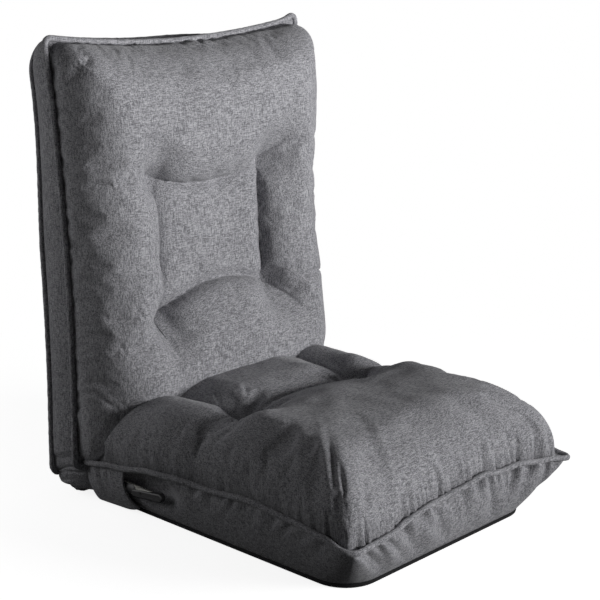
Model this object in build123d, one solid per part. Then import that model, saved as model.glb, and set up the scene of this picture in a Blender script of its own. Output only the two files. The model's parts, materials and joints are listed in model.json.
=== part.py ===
from build123d import *
import os
from collections import namedtuple
from math import cos, hypot, pi, radians, sin, sqrt, tan

# Folding floor chair: a tufted seat and a tufted back joined by two ratchet hinges.
# Frame: origin on the floor under the middle of the base, -Y to the front, +Z up.
# The release lever is on the sitter's right, at -X. The back is drawn upright in its own
# frame at the hinge axis (x, v to the rear, w up) and then leaned back by the rest recline.

os.makedirs("parts", exist_ok=True)

# ---------------------------------------------------------------- driving dimensions, mm
# Base of the seat
base_width = 464
base_length = 562
base_corner = 58
base_lip = 14              # height of the turned-up edge of the base cloth
base_cloth = 2.0
cover = 2.5                # upholstery fabric with its backing
seat_gap = 0.3             # between pieces that lie against each other
piping_radius = 4.5

# Seat seam: the piped line between side band and cushion
seam_height = 90           # at the middle of the seat
seam_slope = 2.4           # degrees, falling to the rear
seat_front_spread = 42     # seam beyond the side of the base, at the front corners
seat_rear_spread = 30
seat_front_overhang = 44   # seam beyond the front of the base
seat_rear_overhang = 5
seat_side_dip = 19         # how far each side is drawn in between its corners
seat_front_dip = 30
ear_corner = 10

# Seat cushion: heights above the seam
seat_tuft_half = 135
seat_tuft_place = 22
seat_tuft_height = 76
seat_pillow_place = -120
seat_pillow_height = 118
seat_pad_place = 166
seat_pad_height = 114
seat_valley_height = 96    # between the two tufts
seat_channel_height = 94   # channels from the tufts to the rear, between the pads
seat_tuft_side = 108       # beside the tufts
seat_fold_front = 57       # where the front pillow starts to fall to the tufts
seat_fold_rear = 63
seat_nose_fullness = 3     # exponent of the curve of the front edge; 2 is an ellipse

# Hinge axis and back
hinge_overhang = 44        # hinge axis behind the base
pivot_z = 38
rest_recline = 2.12        # degrees that the back leans at rest
recline_steps = 6
back_front = -33           # front seam, from the hinge axis
back_rear = 30             # rear seam
back_panel_rear = 38       # rear face: as far from the axis as the floor is
back_bottom = 27
back_top = 741.6
back_foot_spread = 47      # foot of the back beyond the side of the base
back_head_spread = 54
back_side_dip = 14
back_top_dip = 22
back_band_puff = 8
back_rear_corner = 50      # upper corners of the rear seam, which have no ears

# Back cushion: heights in front of its seam
back_tuft_half = 131
back_low_tuft = 275
back_high_tuft = 508
back_tuft_height = 44
bolster_foot_height = 103  # side bolsters, level with the low tufts
bolster_head_height = 86   # and level with the high tufts
back_panel_height = 54
panel_edge_height = 52     # near the panel's upper and lower edges
panel_side_height = 47
panel_foot_rise = 46       # panel edges, from the rows of tufts
panel_head_drop = 38
lumbar_place = 165
lumbar_height = 107
lumbar_crest_height = 97   # top of the lumbar pillow, between the low tufts
lumbar_fold_height = 88    # folds below the low tufts
head_place = 610
head_height = 92
head_brow_height = 74      # foot of the head pillow, between the high tufts
head_fold_height = 84

# Shape that both cushions share
edge_fullness = 2
edge_angles = (4, 22, 44, 66)    # degrees along the edge curve, one section at each
side_reach = 75            # from the side seam in to the crest of the side
tuft_line_sink = 4         # the line through the tufts lies this much under the crowns
trim_allowance = 2         # the lofts are cut back to the seam outline by this much
foam_inset = 1.2           # foam to the seams, beyond the space of the seam
foam_top_gap = 0.6

# Padded rear panel and hinge roll
panel_crown = 2
panel_shoulder = 9         # inset of the panel's edge where its crown starts
panel_flat = 27            # inset of the part that lies on the floor
roll_floor_gap = 3
roll_end_inset = 14

# Steel tubes
tube_radius = 9.5
tube_wall = 1.2
tube_bend = 70
tube_depth = 24            # tube axis to the face that lies on the floor
seat_tube_inset = 31       # front of the frame, from the front of the base
back_tube_foot = 30
back_tube_head = 690
seat_cross_places = (-80, 90)
back_cross_places = (190, 440)

# Ratchet hinges
plate_thick = 3.0
plate_gap = 0.5            # running gap between sector and side plates
hinge_inset = 46.5         # inner face of the inner plate, from the side of the base
rivet_seat = 0.1           # tube to the plate that is riveted to it
plate_tail_radius = 8.5
plate_tail_reach = 62      # from the shaft to the front rivet
plate_tail_step = 40       # between the two rivets
boss_wall = 5
hub_wall = 4
sector_tip = 33
rim_end = 0.75             # of a notch pitch, left beyond the first and last notches
hub_relief = 1
arm_root_radius = 16
arm_neck_radius = 14
arm_neck_shift = 4
arm_neck_drop = 8
arm_low_radius = 11
arm_high_radius = 9
back_rivet_heights = (72, 112)
tooth_depth = 3.6
notch_root_width = 2.6
notch_tip_width = 4.8
nose_gap = 0.15
toe_gap = 2                # behind the nose, to the tips of the teeth
nose_angle = 40            # below the forward direction, where the pawl meets the teeth
pawl_reach = 45            # release shaft to pawl nose
pawl_toe_radius = 4.5
bolt_radius = 5
running_gap = 0.05
bolt_head_radius = 9
bolt_head_thick = 5
bolt_tail = 1              # thread that shows beyond the nut
nut_across = 16
rivet_radius = 3
rivet_head_radius = 5.5
rivet_head_thick = 2
flat_head_thick = 0.7      # rivet heads that lie in a running gap
sleeve_wall = 2.5
spacer_forward = 34        # spacer rivet, from the shaft
spacer_drop = 8

# Release shaft and lever
shaft_radius = 4
clip_radius = 7
clip_thick = 1.5
lever_plate = 3.0
grip_thick = 11
grip_height = 15
grip_reach = 107.4         # release shaft to the start of the grip, at the hem of the flap
grip_length = 68
grip_rear_height = 47
grip_tip_height = 54
grip_taper = 1             # the grip's rear end is this much slimmer, each side
grip_rounding = 2.5
shaft_tail = 1.5           # shaft beyond its clips
lever_root_radius = 5
lever_tip_radius = 4.5
lever_lap = 6              # the arm's waist, behind the start of the grip
lever_end_gap = 14         # arm's end to the tip of the grip
pocket_gap = 0.2
dish_depth = 1.2           # thumb dish on the outside of the grip
dish_length = 42
dish_radius = 3.5
flap_lap = 24              # head of the hem behind the start of the grip
flap_rake = 28             # the hem leans forward to its foot
flap_foot = 9
arm_hem_gap = 0.7          # lever arm to the hem of the flap
hem_radius = 2.8
spring_wire = 0.9
spring_turns = 5
spring_pitch = 2.6
spring_sides = 6           # of the wire's section
spring_gap = 0.5
spring_from_plate = 7.5

# Rooms left in the soft pieces, and overshoot of cutting shapes
cut_margin = 1
slot_room = 4              # beside the hinge metal, to the edges of the cover's slots
slot_overrun = 12
metal_room = 6             # foam to plates, arms and shaft
plate_room = 2
shaft_room = 13            # round the shaft where it leaves the band
window_front = 30          # room for the lever in front of the shaft
window_inward = 20

# Nest behind the seat, from the hinge axis and the back's front seam
nest_gap = 2
nest_knee = 18
nest_heel = 20
nest_heel_drop = 3

# ---------------------------------------------------------------- values worked out
base_half = base_width / 2
base_rear = base_length / 2
seat_front_half = base_half + seat_front_spread
seat_rear_half = base_half + seat_rear_spread
seat_front = -base_rear - seat_front_overhang
seat_rear = base_rear + seat_rear_overhang
seat_tube_front = seat_tube_inset - base_rear
pivot_y = base_rear + hinge_overhang
back_bottom_half = base_half + back_foot_spread
back_top_half = base_half + back_head_spread
plate_inner_x = base_half - hinge_inset
tube_axis_z = tube_depth
back_tube_v = back_panel_rear - tube_depth
sector_inner_x = plate_inner_x + plate_thick + plate_gap
sector_outer_x = sector_inner_x + plate_thick
outer_plate_x = sector_outer_x + plate_gap
seat_leg_x = outer_plate_x + plate_thick + rivet_seat + tube_radius
back_leg_x = sector_outer_x + rivet_seat + tube_radius
flat_recline = 90 - rest_recline
notch_pitch = flat_recline / recline_steps
sector_root = sector_tip - tooth_depth
first_notch = nose_angle + rest_recline    # in the back's own frame
nose_radius = sector_root + nose_gap
shaft_y = pivot_y - nose_radius * cos(radians(nose_angle)) - pawl_reach * sin(radians(nose_angle))
shaft_z = pivot_z - nose_radius * sin(radians(nose_angle)) + pawl_reach * cos(radians(nose_angle))
grip_rear = shaft_y - grip_reach
grip_tip = grip_rear - grip_length
flap_front = grip_rear + flap_lap
seam_space = piping_radius + seat_gap
hinge_slot_in = plate_inner_x - bolt_head_thick - slot_room
hinge_slot_out = seat_leg_x + tube_radius + slot_room
roll_radius = pivot_z - roll_floor_gap

seat_tilt = Location((0, 0, seam_height), (-seam_slope, 0, 0))
back_place = Location((0, pivot_y, pivot_z), (-rest_recline, 0, 0))


def save(node, *solids):
    """Write one node, as a single solid or as a group of them."""
    shape = solids[0] if len(solids) == 1 else Compound(children=list(solids))
    export_step(shape, f"parts/{node}.step")


def solids_of(shape):
    return list(shape.solids())


def block(x, y, z):
    """A box between two corners given axis by axis."""
    size = Box(x[1] - x[0], y[1] - y[0], z[1] - z[0])
    return Pos((x[0] + x[1]) / 2, (y[0] + y[1]) / 2, (z[0] + z[1]) / 2) * size


def rod(radius, start, end):
    """A cylinder along X from start to end, on the X axis."""
    return Pos(start, 0, 0) * (Rot(0, 90, 0) * Cylinder(
        radius, end - start, align=(Align.CENTER, Align.CENTER, Align.MIN)))


def side_plane(x):
    """Sketch plane across the chair: its axes are Y and Z."""
    return Plane(origin=(x, 0, 0), x_dir=(0, 1, 0), z_dir=(1, 0, 0))


def plate(x, thick, *discs):
    """Flat plate across X whose outline runs round discs given as (y, z, radius)."""
    edges = [edge for y, z, r in discs for edge in (Pos(y, z) * Circle(r)).edges()]
    return extrude(side_plane(x) * make_hull(edges), thick)


# ---------------------------------------------------------------- cushion outlines
def drawn_side(start, end, dip):
    """One side of an outline, drawn in by dip at its middle, to the left of travel."""
    if dip == 0:
        return Line(start, end)
    run = (end[0] - start[0], end[1] - start[1])
    length = hypot(*run)
    middle = ((start[0] + end[0]) / 2 - run[1] / length * dip,
              (start[1] + end[1]) / 2 + run[0] / length * dip)
    return ThreePointArc(start, middle, end)


def eared_face(low, high, low_half, high_half, side_dip, low_dip, high_dip, low_corner, high_corner,
               inset=0.0):
    """Face with four corners left standing as ears where the sides are drawn in."""
    corners = [(-low_half + inset, low + inset), (low_half - inset, low + inset),
               (high_half - inset, high - inset), (-high_half + inset, high - inset)]
    dips = (low_dip, side_dip, high_dip, side_dip)
    sides = [drawn_side(corners[i], corners[(i + 1) % 4], dips[i]) for i in range(4)]
    face = make_face(sides)
    middle = (low + high) / 2
    face = fillet([corner for corner in face.vertices() if corner.Y < middle], low_corner)
    return fillet([corner for corner in face.vertices() if corner.Y > middle], high_corner)


def base_face(inset=0.0):
    corner = base_corner - max(inset, 0)
    return eared_face(-base_rear, base_rear, base_half, base_half, 0, 0, 0, corner, corner, inset)


def seat_face(inset=0.0):
    return eared_face(seat_front, seat_rear, seat_front_half, seat_rear_half,
                      seat_side_dip, seat_front_dip, 0, ear_corner, ear_corner, inset)


def back_face(inset=0.0, puff=0.0, head_corner=ear_corner):
    """Outline of the back; puff swells the sides and the head but not the foot."""
    return eared_face(back_bottom + puff, back_top, back_bottom_half, back_top_half,
                      back_side_dip, 0, back_top_dip, ear_corner, head_corner, inset - puff)


def waist(low, high, low_half, high_half, dip, place):
    """Half-width of a drawn-in outline at one place between its ends."""
    share = (place - low) / (high - low)
    return low_half + (high_half - low_half) * share - 4 * dip * share * (1 - share)


# A row is one section across a cushion: the height of its sides, its height on the two
# tuft lines, and its height between them.
Row = namedtuple("Row", "place side crease middle")


def between(first, second, share):
    """The row that lies a share of the way from one row to another."""
    return Row(*(a + (b - a) * share for a, b in zip(first, second)))


def rolled_edge(row, seam, fullness):
    """Rows from a seam up to a full row, along a quarter of a superellipse."""
    rows = []
    for angle in edge_angles:
        depth = 1 - cos(radians(angle)) ** (2 / fullness)
        share = sin(radians(angle)) ** (2 / fullness)
        place = seam + (row.place - seam) * depth
        rows.append(Row(place, row.side * share, row.crease * share, row.middle * share))
    return rows


def crowned(place, height):
    """A row that is nearly level, a little lower on the tuft lines."""
    return Row(place, height - tuft_line_sink / 2, height - tuft_line_sink, height)


def tufted_loft(rows, tuft_half, half_at, plane_at):
    """Loft through rows, each a base line, two arcs up each side and a middle arc."""
    sections = []
    for row in rows:
        half = half_at(row.place)
        crest = (half - side_reach, row.side)
        far_crest = (side_reach - half, row.side)
        outline = [Line((-half, 0), (half, 0)),
                   TangentArc(crest, (half, 0), tangent=(1, 0)),
                   TangentArc(crest, (tuft_half, row.crease), tangent=(-1, 0)),
                   ThreePointArc((tuft_half, row.crease), (0, row.middle), (-tuft_half, row.crease)),
                   TangentArc(far_crest, (-tuft_half, row.crease), tangent=(1, 0)),
                   TangentArc(far_crest, (-half, 0), tangent=(-1, 0))]
        sections.append(plane_at(row.place) * make_face(outline))
    return loft(sections)


# Rows of the back cushion, from its foot to its head
lumbar = crowned(lumbar_place, lumbar_height)
low_tufts = Row(back_low_tuft, bolster_foot_height, back_tuft_height, lumbar_crest_height)
high_tufts = Row(back_high_tuft, bolster_head_height, back_tuft_height, head_brow_height)
head = crowned(head_place, head_height)
lumbar_fold = between(lumbar, low_tufts, 0.5)._replace(crease=lumbar_fold_height, middle=lumbar_height)
panel_length = back_high_tuft - back_low_tuft
panel_heights = ((panel_foot_rise, panel_edge_height), (panel_length / 2, back_panel_height),
                 (panel_length - panel_head_drop, panel_edge_height))
panel_rows = [between(low_tufts, high_tufts, rise / panel_length)._replace(
    crease=panel_side_height, middle=height) for rise, height in panel_heights]
head_fold = between(high_tufts, head, 0.5)._replace(crease=head_fold_height, middle=head_height)
back_foot_rows = rolled_edge(lumbar, back_bottom, edge_fullness)
back_rows = [
    *back_foot_rows,
    lumbar,
    lumbar_fold,
    low_tufts,
    *panel_rows,
    high_tufts,
    head_fold,
    head,
    *reversed(rolled_edge(head, back_top, edge_fullness)),
]


# ---------------------------------------------------------------- seat, soft pieces
def before_back(row):
    """Spot in the side plane that lies a gap in front of the back cushion, at one of its rows."""
    spot = back_place * Pos(0, back_front - seam_space - row.middle - nest_gap, row.place)
    return spot.position.Y, spot.position.Z


def nest_cutter():
    """Room behind the seat that the back fills or sweeps, along the back's own lower curve."""
    far = pivot_y + back_top
    foot = (pivot_y - roll_radius - nest_gap, -base_lip)
    knee = (foot[0], pivot_z + nest_knee)
    heel = (pivot_y + back_front - nest_heel, pivot_z + back_bottom - nest_heel_drop)
    belly = [before_back(row) for row in (*back_foot_rows[1:], lumbar)]
    chest = belly[-1]
    profile = [Line(foot, knee), Line(knee, heel), Spline(heel, *belly),
               Line(chest, (chest[0], far)), Line((chest[0], far), (far, far)),
               Line((far, far), (far, foot[1])), Line((far, foot[1]), foot)]
    half = back_top_half * 2
    return extrude(side_plane(-half / 2) * make_face(profile), half)


def hinge_room(side, leg_x):
    """Extent in X of the room that foam leaves for the hinge metal and its rivets."""
    inner = plate_inner_x - rivet_head_thick - plate_room
    outer = leg_x + tube_radius + rivet_head_thick + seat_gap
    return (inner, outer) if side > 0 else (-outer, -inner)


nest = nest_cutter()
hinge_slots = [block((side * hinge_slot_in, side * hinge_slot_out)[::side],
                     (base_rear - base_corner / 2, seat_rear + slot_overrun),
                     (base_lip - slot_overrun, seam_height))
               for side in (1, -1)]

# Base cloth: flat sheet with a turned-up edge
base = extrude(base_face(), base_lip)
base -= Pos(0, 0, base_cloth) * extrude(base_face(base_cloth), base_lip)
save("base_cloth", base)

# Felt pad that keeps the frame off the floor
pad_top = tube_axis_z - tube_radius - seat_gap
felt = Pos(0, 0, base_cloth) * extrude(base_face(base_cloth + seat_gap), pad_top - base_cloth)
save("felt_pad", felt)

# Side band between base edge and seam
seam_underside = seat_tilt * Pos(0, 0, -seam_space)


def band_loft(inset):
    low = Pos(0, 0, base_lip + seat_gap) * base_face(inset)
    high = seam_underside * seat_face(inset)
    return loft([low, high], ruled=True)


band = band_loft(0) - band_loft(cover) - nest
for slot in hinge_slots:
    band -= slot
shaft_window = block((-base_width, -base_half + window_inward),
                     (shaft_y - window_front, shaft_y + shaft_room),
                     (shaft_z - shaft_room, shaft_z + shaft_room))
band -= shaft_window
save("seat_band", band)

# Flap that hangs outside the band and covers the lever arm
flap_ring = seat_face(-seam_space - cover) - seat_face(-seam_space)
flap_top = seam_height - flap_front * tan(radians(seam_slope)) - piping_radius
flap = extrude(Pos(0, 0, flap_foot) * flap_ring, flap_top - flap_foot)
hem_foot = (flap_front - flap_rake, flap_foot)
hem_head = (flap_front, flap_top)
flap_side = Polyline(hem_foot, (pivot_y, flap_foot), (pivot_y, flap_top), hem_head, close=True)
flap &= extrude(side_plane(-base_width) * make_face(flap_side), base_width / 2)
flap -= nest
hem_x = -waist(seat_front, seat_rear, seat_front_half, seat_rear_half, seat_side_dip,
               flap_front - flap_rake / 2) - seam_space - hem_radius
hem_line = Line((hem_x, hem_foot[0], hem_foot[1] + hem_radius),
                (hem_x, hem_head[0], hem_head[1] - hem_radius))
hem = sweep(Plane(hem_line @ 0, z_dir=hem_line % 0) * Circle(hem_radius), hem_line)
flap = flap + hem
save("lever_flap", *solids_of(flap))

# Foam block on and around the frame
foam_rear = shaft_y - clip_radius - metal_room


def tube_path(half, foot, head, bend):
    """Outline of a U of tube in a plane: up one leg, across the head, down the other."""
    return FilletPolyline((-half, foot), (-half, head), (half, head), (half, foot), radius=bend)


def tube_frame(path, foot_plane, radius, wall=0.0):
    ring = Circle(radius) - Circle(radius - wall) if wall else Circle(radius)
    return sweep(foot_plane * ring, path)


seat_path = Pos(0, 0, tube_axis_z) * tube_path(seat_leg_x, seat_rear, seat_tube_front, tube_bend)
seat_foot = Plane(origin=(-seat_leg_x, seat_rear, tube_axis_z), z_dir=(0, -1, 0))
seat_tube = tube_frame(seat_path, seat_foot, tube_radius, tube_wall)
seat_channel = tube_frame(seat_path, seat_foot, tube_radius + seat_gap)


def cross_tube(place, half, channel):
    """Tube across a frame at one place, its ends coped round the legs."""
    wall = rod(tube_radius, -half, half) - rod(tube_radius - tube_wall, -half, half)
    return place * wall - channel


seat_cross_spots = [Pos(0, place, tube_axis_z) for place in seat_cross_places]
seat_cross = [cross_tube(spot, seat_leg_x, seat_channel) for spot in seat_cross_spots]

foam = band_loft(cover + seat_gap)
foam += seam_underside * extrude(seat_face(seam_space + foam_inset), 2 * seam_space - seat_gap)
foam -= block((-base_width, base_width), (seat_front * 2, seat_rear * 2), (0, pad_top + seat_gap))
foam -= block((-base_width, base_width), (foam_rear, seat_rear * 2), (0, seam_height * 2))
foam -= nest
foam -= seat_channel
for spot in seat_cross_spots:
    foam -= spot * rod(tube_radius + seat_gap, -seat_leg_x, seat_leg_x)
plate_room_front = shaft_y - plate_tail_reach - plate_tail_radius - metal_room
for side in (1, -1):
    foam -= block(hinge_room(side, seat_leg_x), (plate_room_front, foam_rear + cut_margin),
                  (0, shaft_z + shaft_room))
save("seat_foam", foam)
save("seat_frame", seat_tube)
save("seat_cross_tubes", *[solid for piece in seat_cross for solid in solids_of(piece)])

# Tufted cushion
seat_pillow = crowned(seat_pillow_place, seat_pillow_height)
seat_fold = crowned(seat_tuft_place - seat_fold_front, seat_pillow_height - tuft_line_sink)
seat_tufts = Row(seat_tuft_place, seat_tuft_side, seat_tuft_height, seat_valley_height)
seat_pads = Row(seat_pad_place, seat_pad_height, seat_channel_height, seat_pad_height)
seat_pads_front = seat_pads._replace(place=seat_tuft_place + seat_fold_rear)
seat_rows = [
    *rolled_edge(seat_pillow, seat_front, seat_nose_fullness),
    seat_pillow,
    seat_fold,
    seat_tufts,
    seat_pads_front,
    seat_pads,
    *reversed(rolled_edge(seat_pads, seat_rear, edge_fullness)),
]


def seat_half(place):
    edge = waist(seat_front, seat_rear, seat_front_half, seat_rear_half, seat_side_dip, place)
    return edge + trim_allowance


def seat_row_plane(place):
    return Plane(origin=(0, place, 0), x_dir=(1, 0, 0), z_dir=(0, -1, 0))


seat_cushion = tufted_loft(seat_rows, seat_tuft_half, seat_half, seat_row_plane)
seat_cushion &= extrude(seat_face(), seat_pillow_height * 2)
seat_cushion = seat_tilt * Pos(0, 0, seam_space) * seat_cushion
seat_cushion -= nest
save("seat_cushion", *solids_of(seat_cushion))


def piping(seam):
    """Round cord along the edge of a seam face, in the seam's own plane."""
    path = seam.wires()[0]
    return sweep(Plane(path @ 0, z_dir=path % 0) * Circle(piping_radius), path)


seat_piping = seat_tilt * piping(seat_face())
seat_piping -= nest
save("seat_piping", *solids_of(seat_piping))


# ---------------------------------------------------------------- back, soft pieces
def back_plane(v):
    """Sketch plane across the back's thickness: its axes are X and w."""
    return Plane(origin=(0, v, 0), x_dir=(1, 0, 0), z_dir=(0, -1, 0))


band_front = back_front + seam_space
band_rear = back_rear - seam_space
band_middle = (band_front + band_rear) / 2


def back_band_loft(inset):
    return loft([back_plane(band_front) * back_face(inset),
                 back_plane(band_middle) * back_face(inset, back_band_puff, back_rear_corner / 2),
                 back_plane(band_rear) * back_face(inset, 0, back_rear_corner)], ruled=True)


back_slots = [block((side * hinge_slot_in, side * hinge_slot_out)[::side],
                    (back_front * 2, -back_front * 2), (0, roll_radius + metal_room))
              for side in (1, -1)]
back_band = back_band_loft(0) - back_band_loft(cover)
for slot in back_slots:
    back_band -= slot
save("back_band", *[back_place * solid for solid in solids_of(back_band)])

# Frame
back_path = back_plane(back_tube_v) * tube_path(back_leg_x, back_tube_foot, back_tube_head, tube_bend)
back_foot = Plane(origin=(-back_leg_x, back_tube_v, back_tube_foot), z_dir=(0, 0, 1))
back_tube = tube_frame(back_path, back_foot, tube_radius, tube_wall)
back_channel = tube_frame(back_path, back_foot, tube_radius + seat_gap)
back_cross_spots = [Pos(0, back_tube_v, place) for place in back_cross_places]
back_cross = [cross_tube(spot, back_leg_x, back_channel) for spot in back_cross_spots]

# Foam
back_foam = back_band_loft(cover + seat_gap)
foam_core = back_face(seam_space + foam_top_gap, 0, back_rear_corner)
back_foam += back_plane(back_rear) * extrude(foam_core, back_rear - back_front + seam_space - seat_gap)
back_foam -= back_channel
for spot in back_cross_spots:
    back_foam -= spot * rod(tube_radius + seat_gap, -back_leg_x, back_leg_x)
arm_room_top = back_rivet_heights[-1] + arm_high_radius + metal_room
for side in (1, -1):
    back_foam -= block(hinge_room(side, back_leg_x),
                       (-arm_root_radius, back_tube_v + arm_low_radius + plate_room), (0, arm_room_top))
for slot in back_slots:
    back_foam -= slot
save("back_foam", *[back_place * solid for solid in solids_of(back_foam)])

# Padded rear panel, flat where it lies on the floor
panel_front = back_rear + seat_gap
panel_outline = ((panel_front, piping_radius + foam_inset), (back_panel_rear - panel_crown, panel_shoulder),
                 (back_panel_rear, panel_flat))
back_panel = loft([back_plane(v) * back_face(inset, 0, back_rear_corner) for v, inset in panel_outline],
                  ruled=True)
save("back_panel", *[back_place * solid for solid in solids_of(back_panel)])

# Tufted cushion
def back_half(place):
    edge = waist(back_bottom, back_top, back_bottom_half, back_top_half, back_side_dip, place)
    return edge + trim_allowance


def back_row_plane(place):
    return Plane(origin=(0, back_front - seam_space, place), x_dir=(1, 0, 0), z_dir=(0, 0, -1))


back_cushion = tufted_loft(back_rows, back_tuft_half, back_half, back_row_plane)
back_cushion &= extrude(back_plane(0) * back_face(), lumbar_height * 2)
save("back_cushion", *[back_place * solid for solid in solids_of(back_cushion)])

for node, seam, head_corner in (("back_piping_front", back_front, ear_corner),
                                ("back_piping_rear", back_rear, back_rear_corner)):
    loop = back_place * (back_plane(seam) * piping(back_face(0, 0, head_corner)))
    save(node, *solids_of(loop))

# Padded roll along the hinge axis, in three lengths between the hinges
roll_far = back_bottom_half - roll_end_inset
roll_ends = [(-roll_far, -hinge_slot_out - seat_gap), (-hinge_slot_in + seat_gap, hinge_slot_in - seat_gap),
             (hinge_slot_out + seat_gap, roll_far)]
roll_flat = block((-back_top_half, back_top_half), (-pivot_z, pivot_z), (back_bottom - seat_gap, pivot_z))
rolls = [rod(roll_radius, start, end) - roll_flat for start, end in roll_ends]
save("hinge_roll", *[back_place * roll for roll in rolls])

# ---------------------------------------------------------------- ratchet hinges
at_pivot = Pos(0, pivot_y, pivot_z)
at_shaft = Pos(0, shaft_y, shaft_z)
seat_rivet_places = ((shaft_y - plate_tail_reach, tube_axis_z),
                     (shaft_y - plate_tail_reach + plate_tail_step, tube_axis_z))
spacer_y = shaft_y - spacer_forward
spacer_z = shaft_z - spacer_drop


def notch(width_root, width_tip, depth_extra=0.0):
    """A tooth space on the forward side of the sector, root first."""
    outer = sector_tip + depth_extra
    points = [(-sector_root, -width_root / 2), (-outer, -width_tip / 2),
              (-outer, width_tip / 2), (-sector_root, width_root / 2)]
    return make_face(Polyline(*points, close=True))


def hole(radius, x):
    """Cutter for a running fit through the plate that starts at x."""
    return rod(radius + running_gap, x - cut_margin, x + plate_thick + cut_margin)


def toothed_sector(side):
    """Moving plate: round hub with notches, and an arm to the leg of the back frame."""
    x = sector_inner_x if side > 0 else -sector_outer_x
    low_boss = (back_tube_v, back_rivet_heights[0], arm_low_radius)
    high_boss = (back_tube_v, back_rivet_heights[1], arm_high_radius)
    neck = (back_tube_v - arm_neck_shift, sector_root - arm_neck_drop, arm_neck_radius)
    arm = plate(x, plate_thick, (0, 0, arm_root_radius), neck, low_boss, high_boss)
    rim = rod(sector_tip, x, x + plate_thick)
    rim_start = first_notch - notch_pitch * rim_end
    rim_span = notch_pitch * (recline_steps + 2 * rim_end)
    wedge_sides = 4
    turns = [radians(rim_start + rim_span * step / wedge_sides) for step in range(wedge_sides + 1)]
    rim_wedge = make_face(Polyline(
        (0, 0), *[(-2 * sector_tip * cos(turn), -2 * sector_tip * sin(turn)) for turn in turns],
        close=True))
    rim &= extrude(side_plane(x) * rim_wedge, plate_thick)
    hub = rod(sector_root - hub_relief, x, x + plate_thick)
    sector = hub + rim + arm
    for step in range(recline_steps + 1):
        turn = first_notch + notch_pitch * step
        space = notch(notch_root_width, notch_tip_width, toe_gap)
        sector -= extrude(side_plane(x) * (Rot(0, 0, turn) * space), plate_thick)
    sector -= hole(bolt_radius, x)
    for height in back_rivet_heights:
        sector -= Pos(0, back_tube_v, height) * hole(rivet_radius, x)
    return sector


def pawl(side):
    """Arm on the release shaft whose nose fills one notch of the sector."""
    x = sector_inner_x if side > 0 else -sector_outer_x
    away = sector_tip + pawl_toe_radius + toe_gap
    toe = (pivot_y - away * cos(radians(nose_angle)), pivot_z - away * sin(radians(nose_angle)))
    body = plate(x, plate_thick, (shaft_y, shaft_z, shaft_radius + hub_wall), (*toe, pawl_toe_radius))
    shank = notch(notch_root_width - 2 * nose_gap, notch_tip_width - 2 * nose_gap, 2 * toe_gap)
    nose = extrude(side_plane(x) * (Pos(pivot_y, pivot_z) * (Rot(0, 0, nose_angle) * shank)), plate_thick)
    nose -= at_pivot * rod(nose_radius, x, x + plate_thick)
    return body + nose - at_shaft * hole(shaft_radius, x)


def side_plate(x, discs):
    piece = plate(x, plate_thick, *discs)
    piece -= at_pivot * hole(bolt_radius, x)
    piece -= at_shaft * hole(shaft_radius, x)
    piece -= Pos(0, spacer_y, spacer_z) * hole(rivet_radius, x)
    return piece


shaft_boss = (shaft_y, shaft_z, shaft_radius + boss_wall)
pivot_boss = (pivot_y, pivot_z, bolt_head_radius + boss_wall)
spacer_boss = (spacer_y, spacer_z, rivet_radius + boss_wall)
seat_frame_drilled = seat_tube
back_frame_drilled = back_tube
pivot_bolts = []
plate_rivets = []
sector_rivets = []
spacers = []

def tube_rivet(face_x, leg_x):
    """Rivet through a plate and the tube beside it."""
    end = leg_x + tube_radius
    piece = rod(rivet_radius, face_x - running_gap, end)
    piece += rod(rivet_head_radius, face_x - running_gap - flat_head_thick, face_x - running_gap)
    return piece + rod(rivet_head_radius, end, end + rivet_head_thick)


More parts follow.
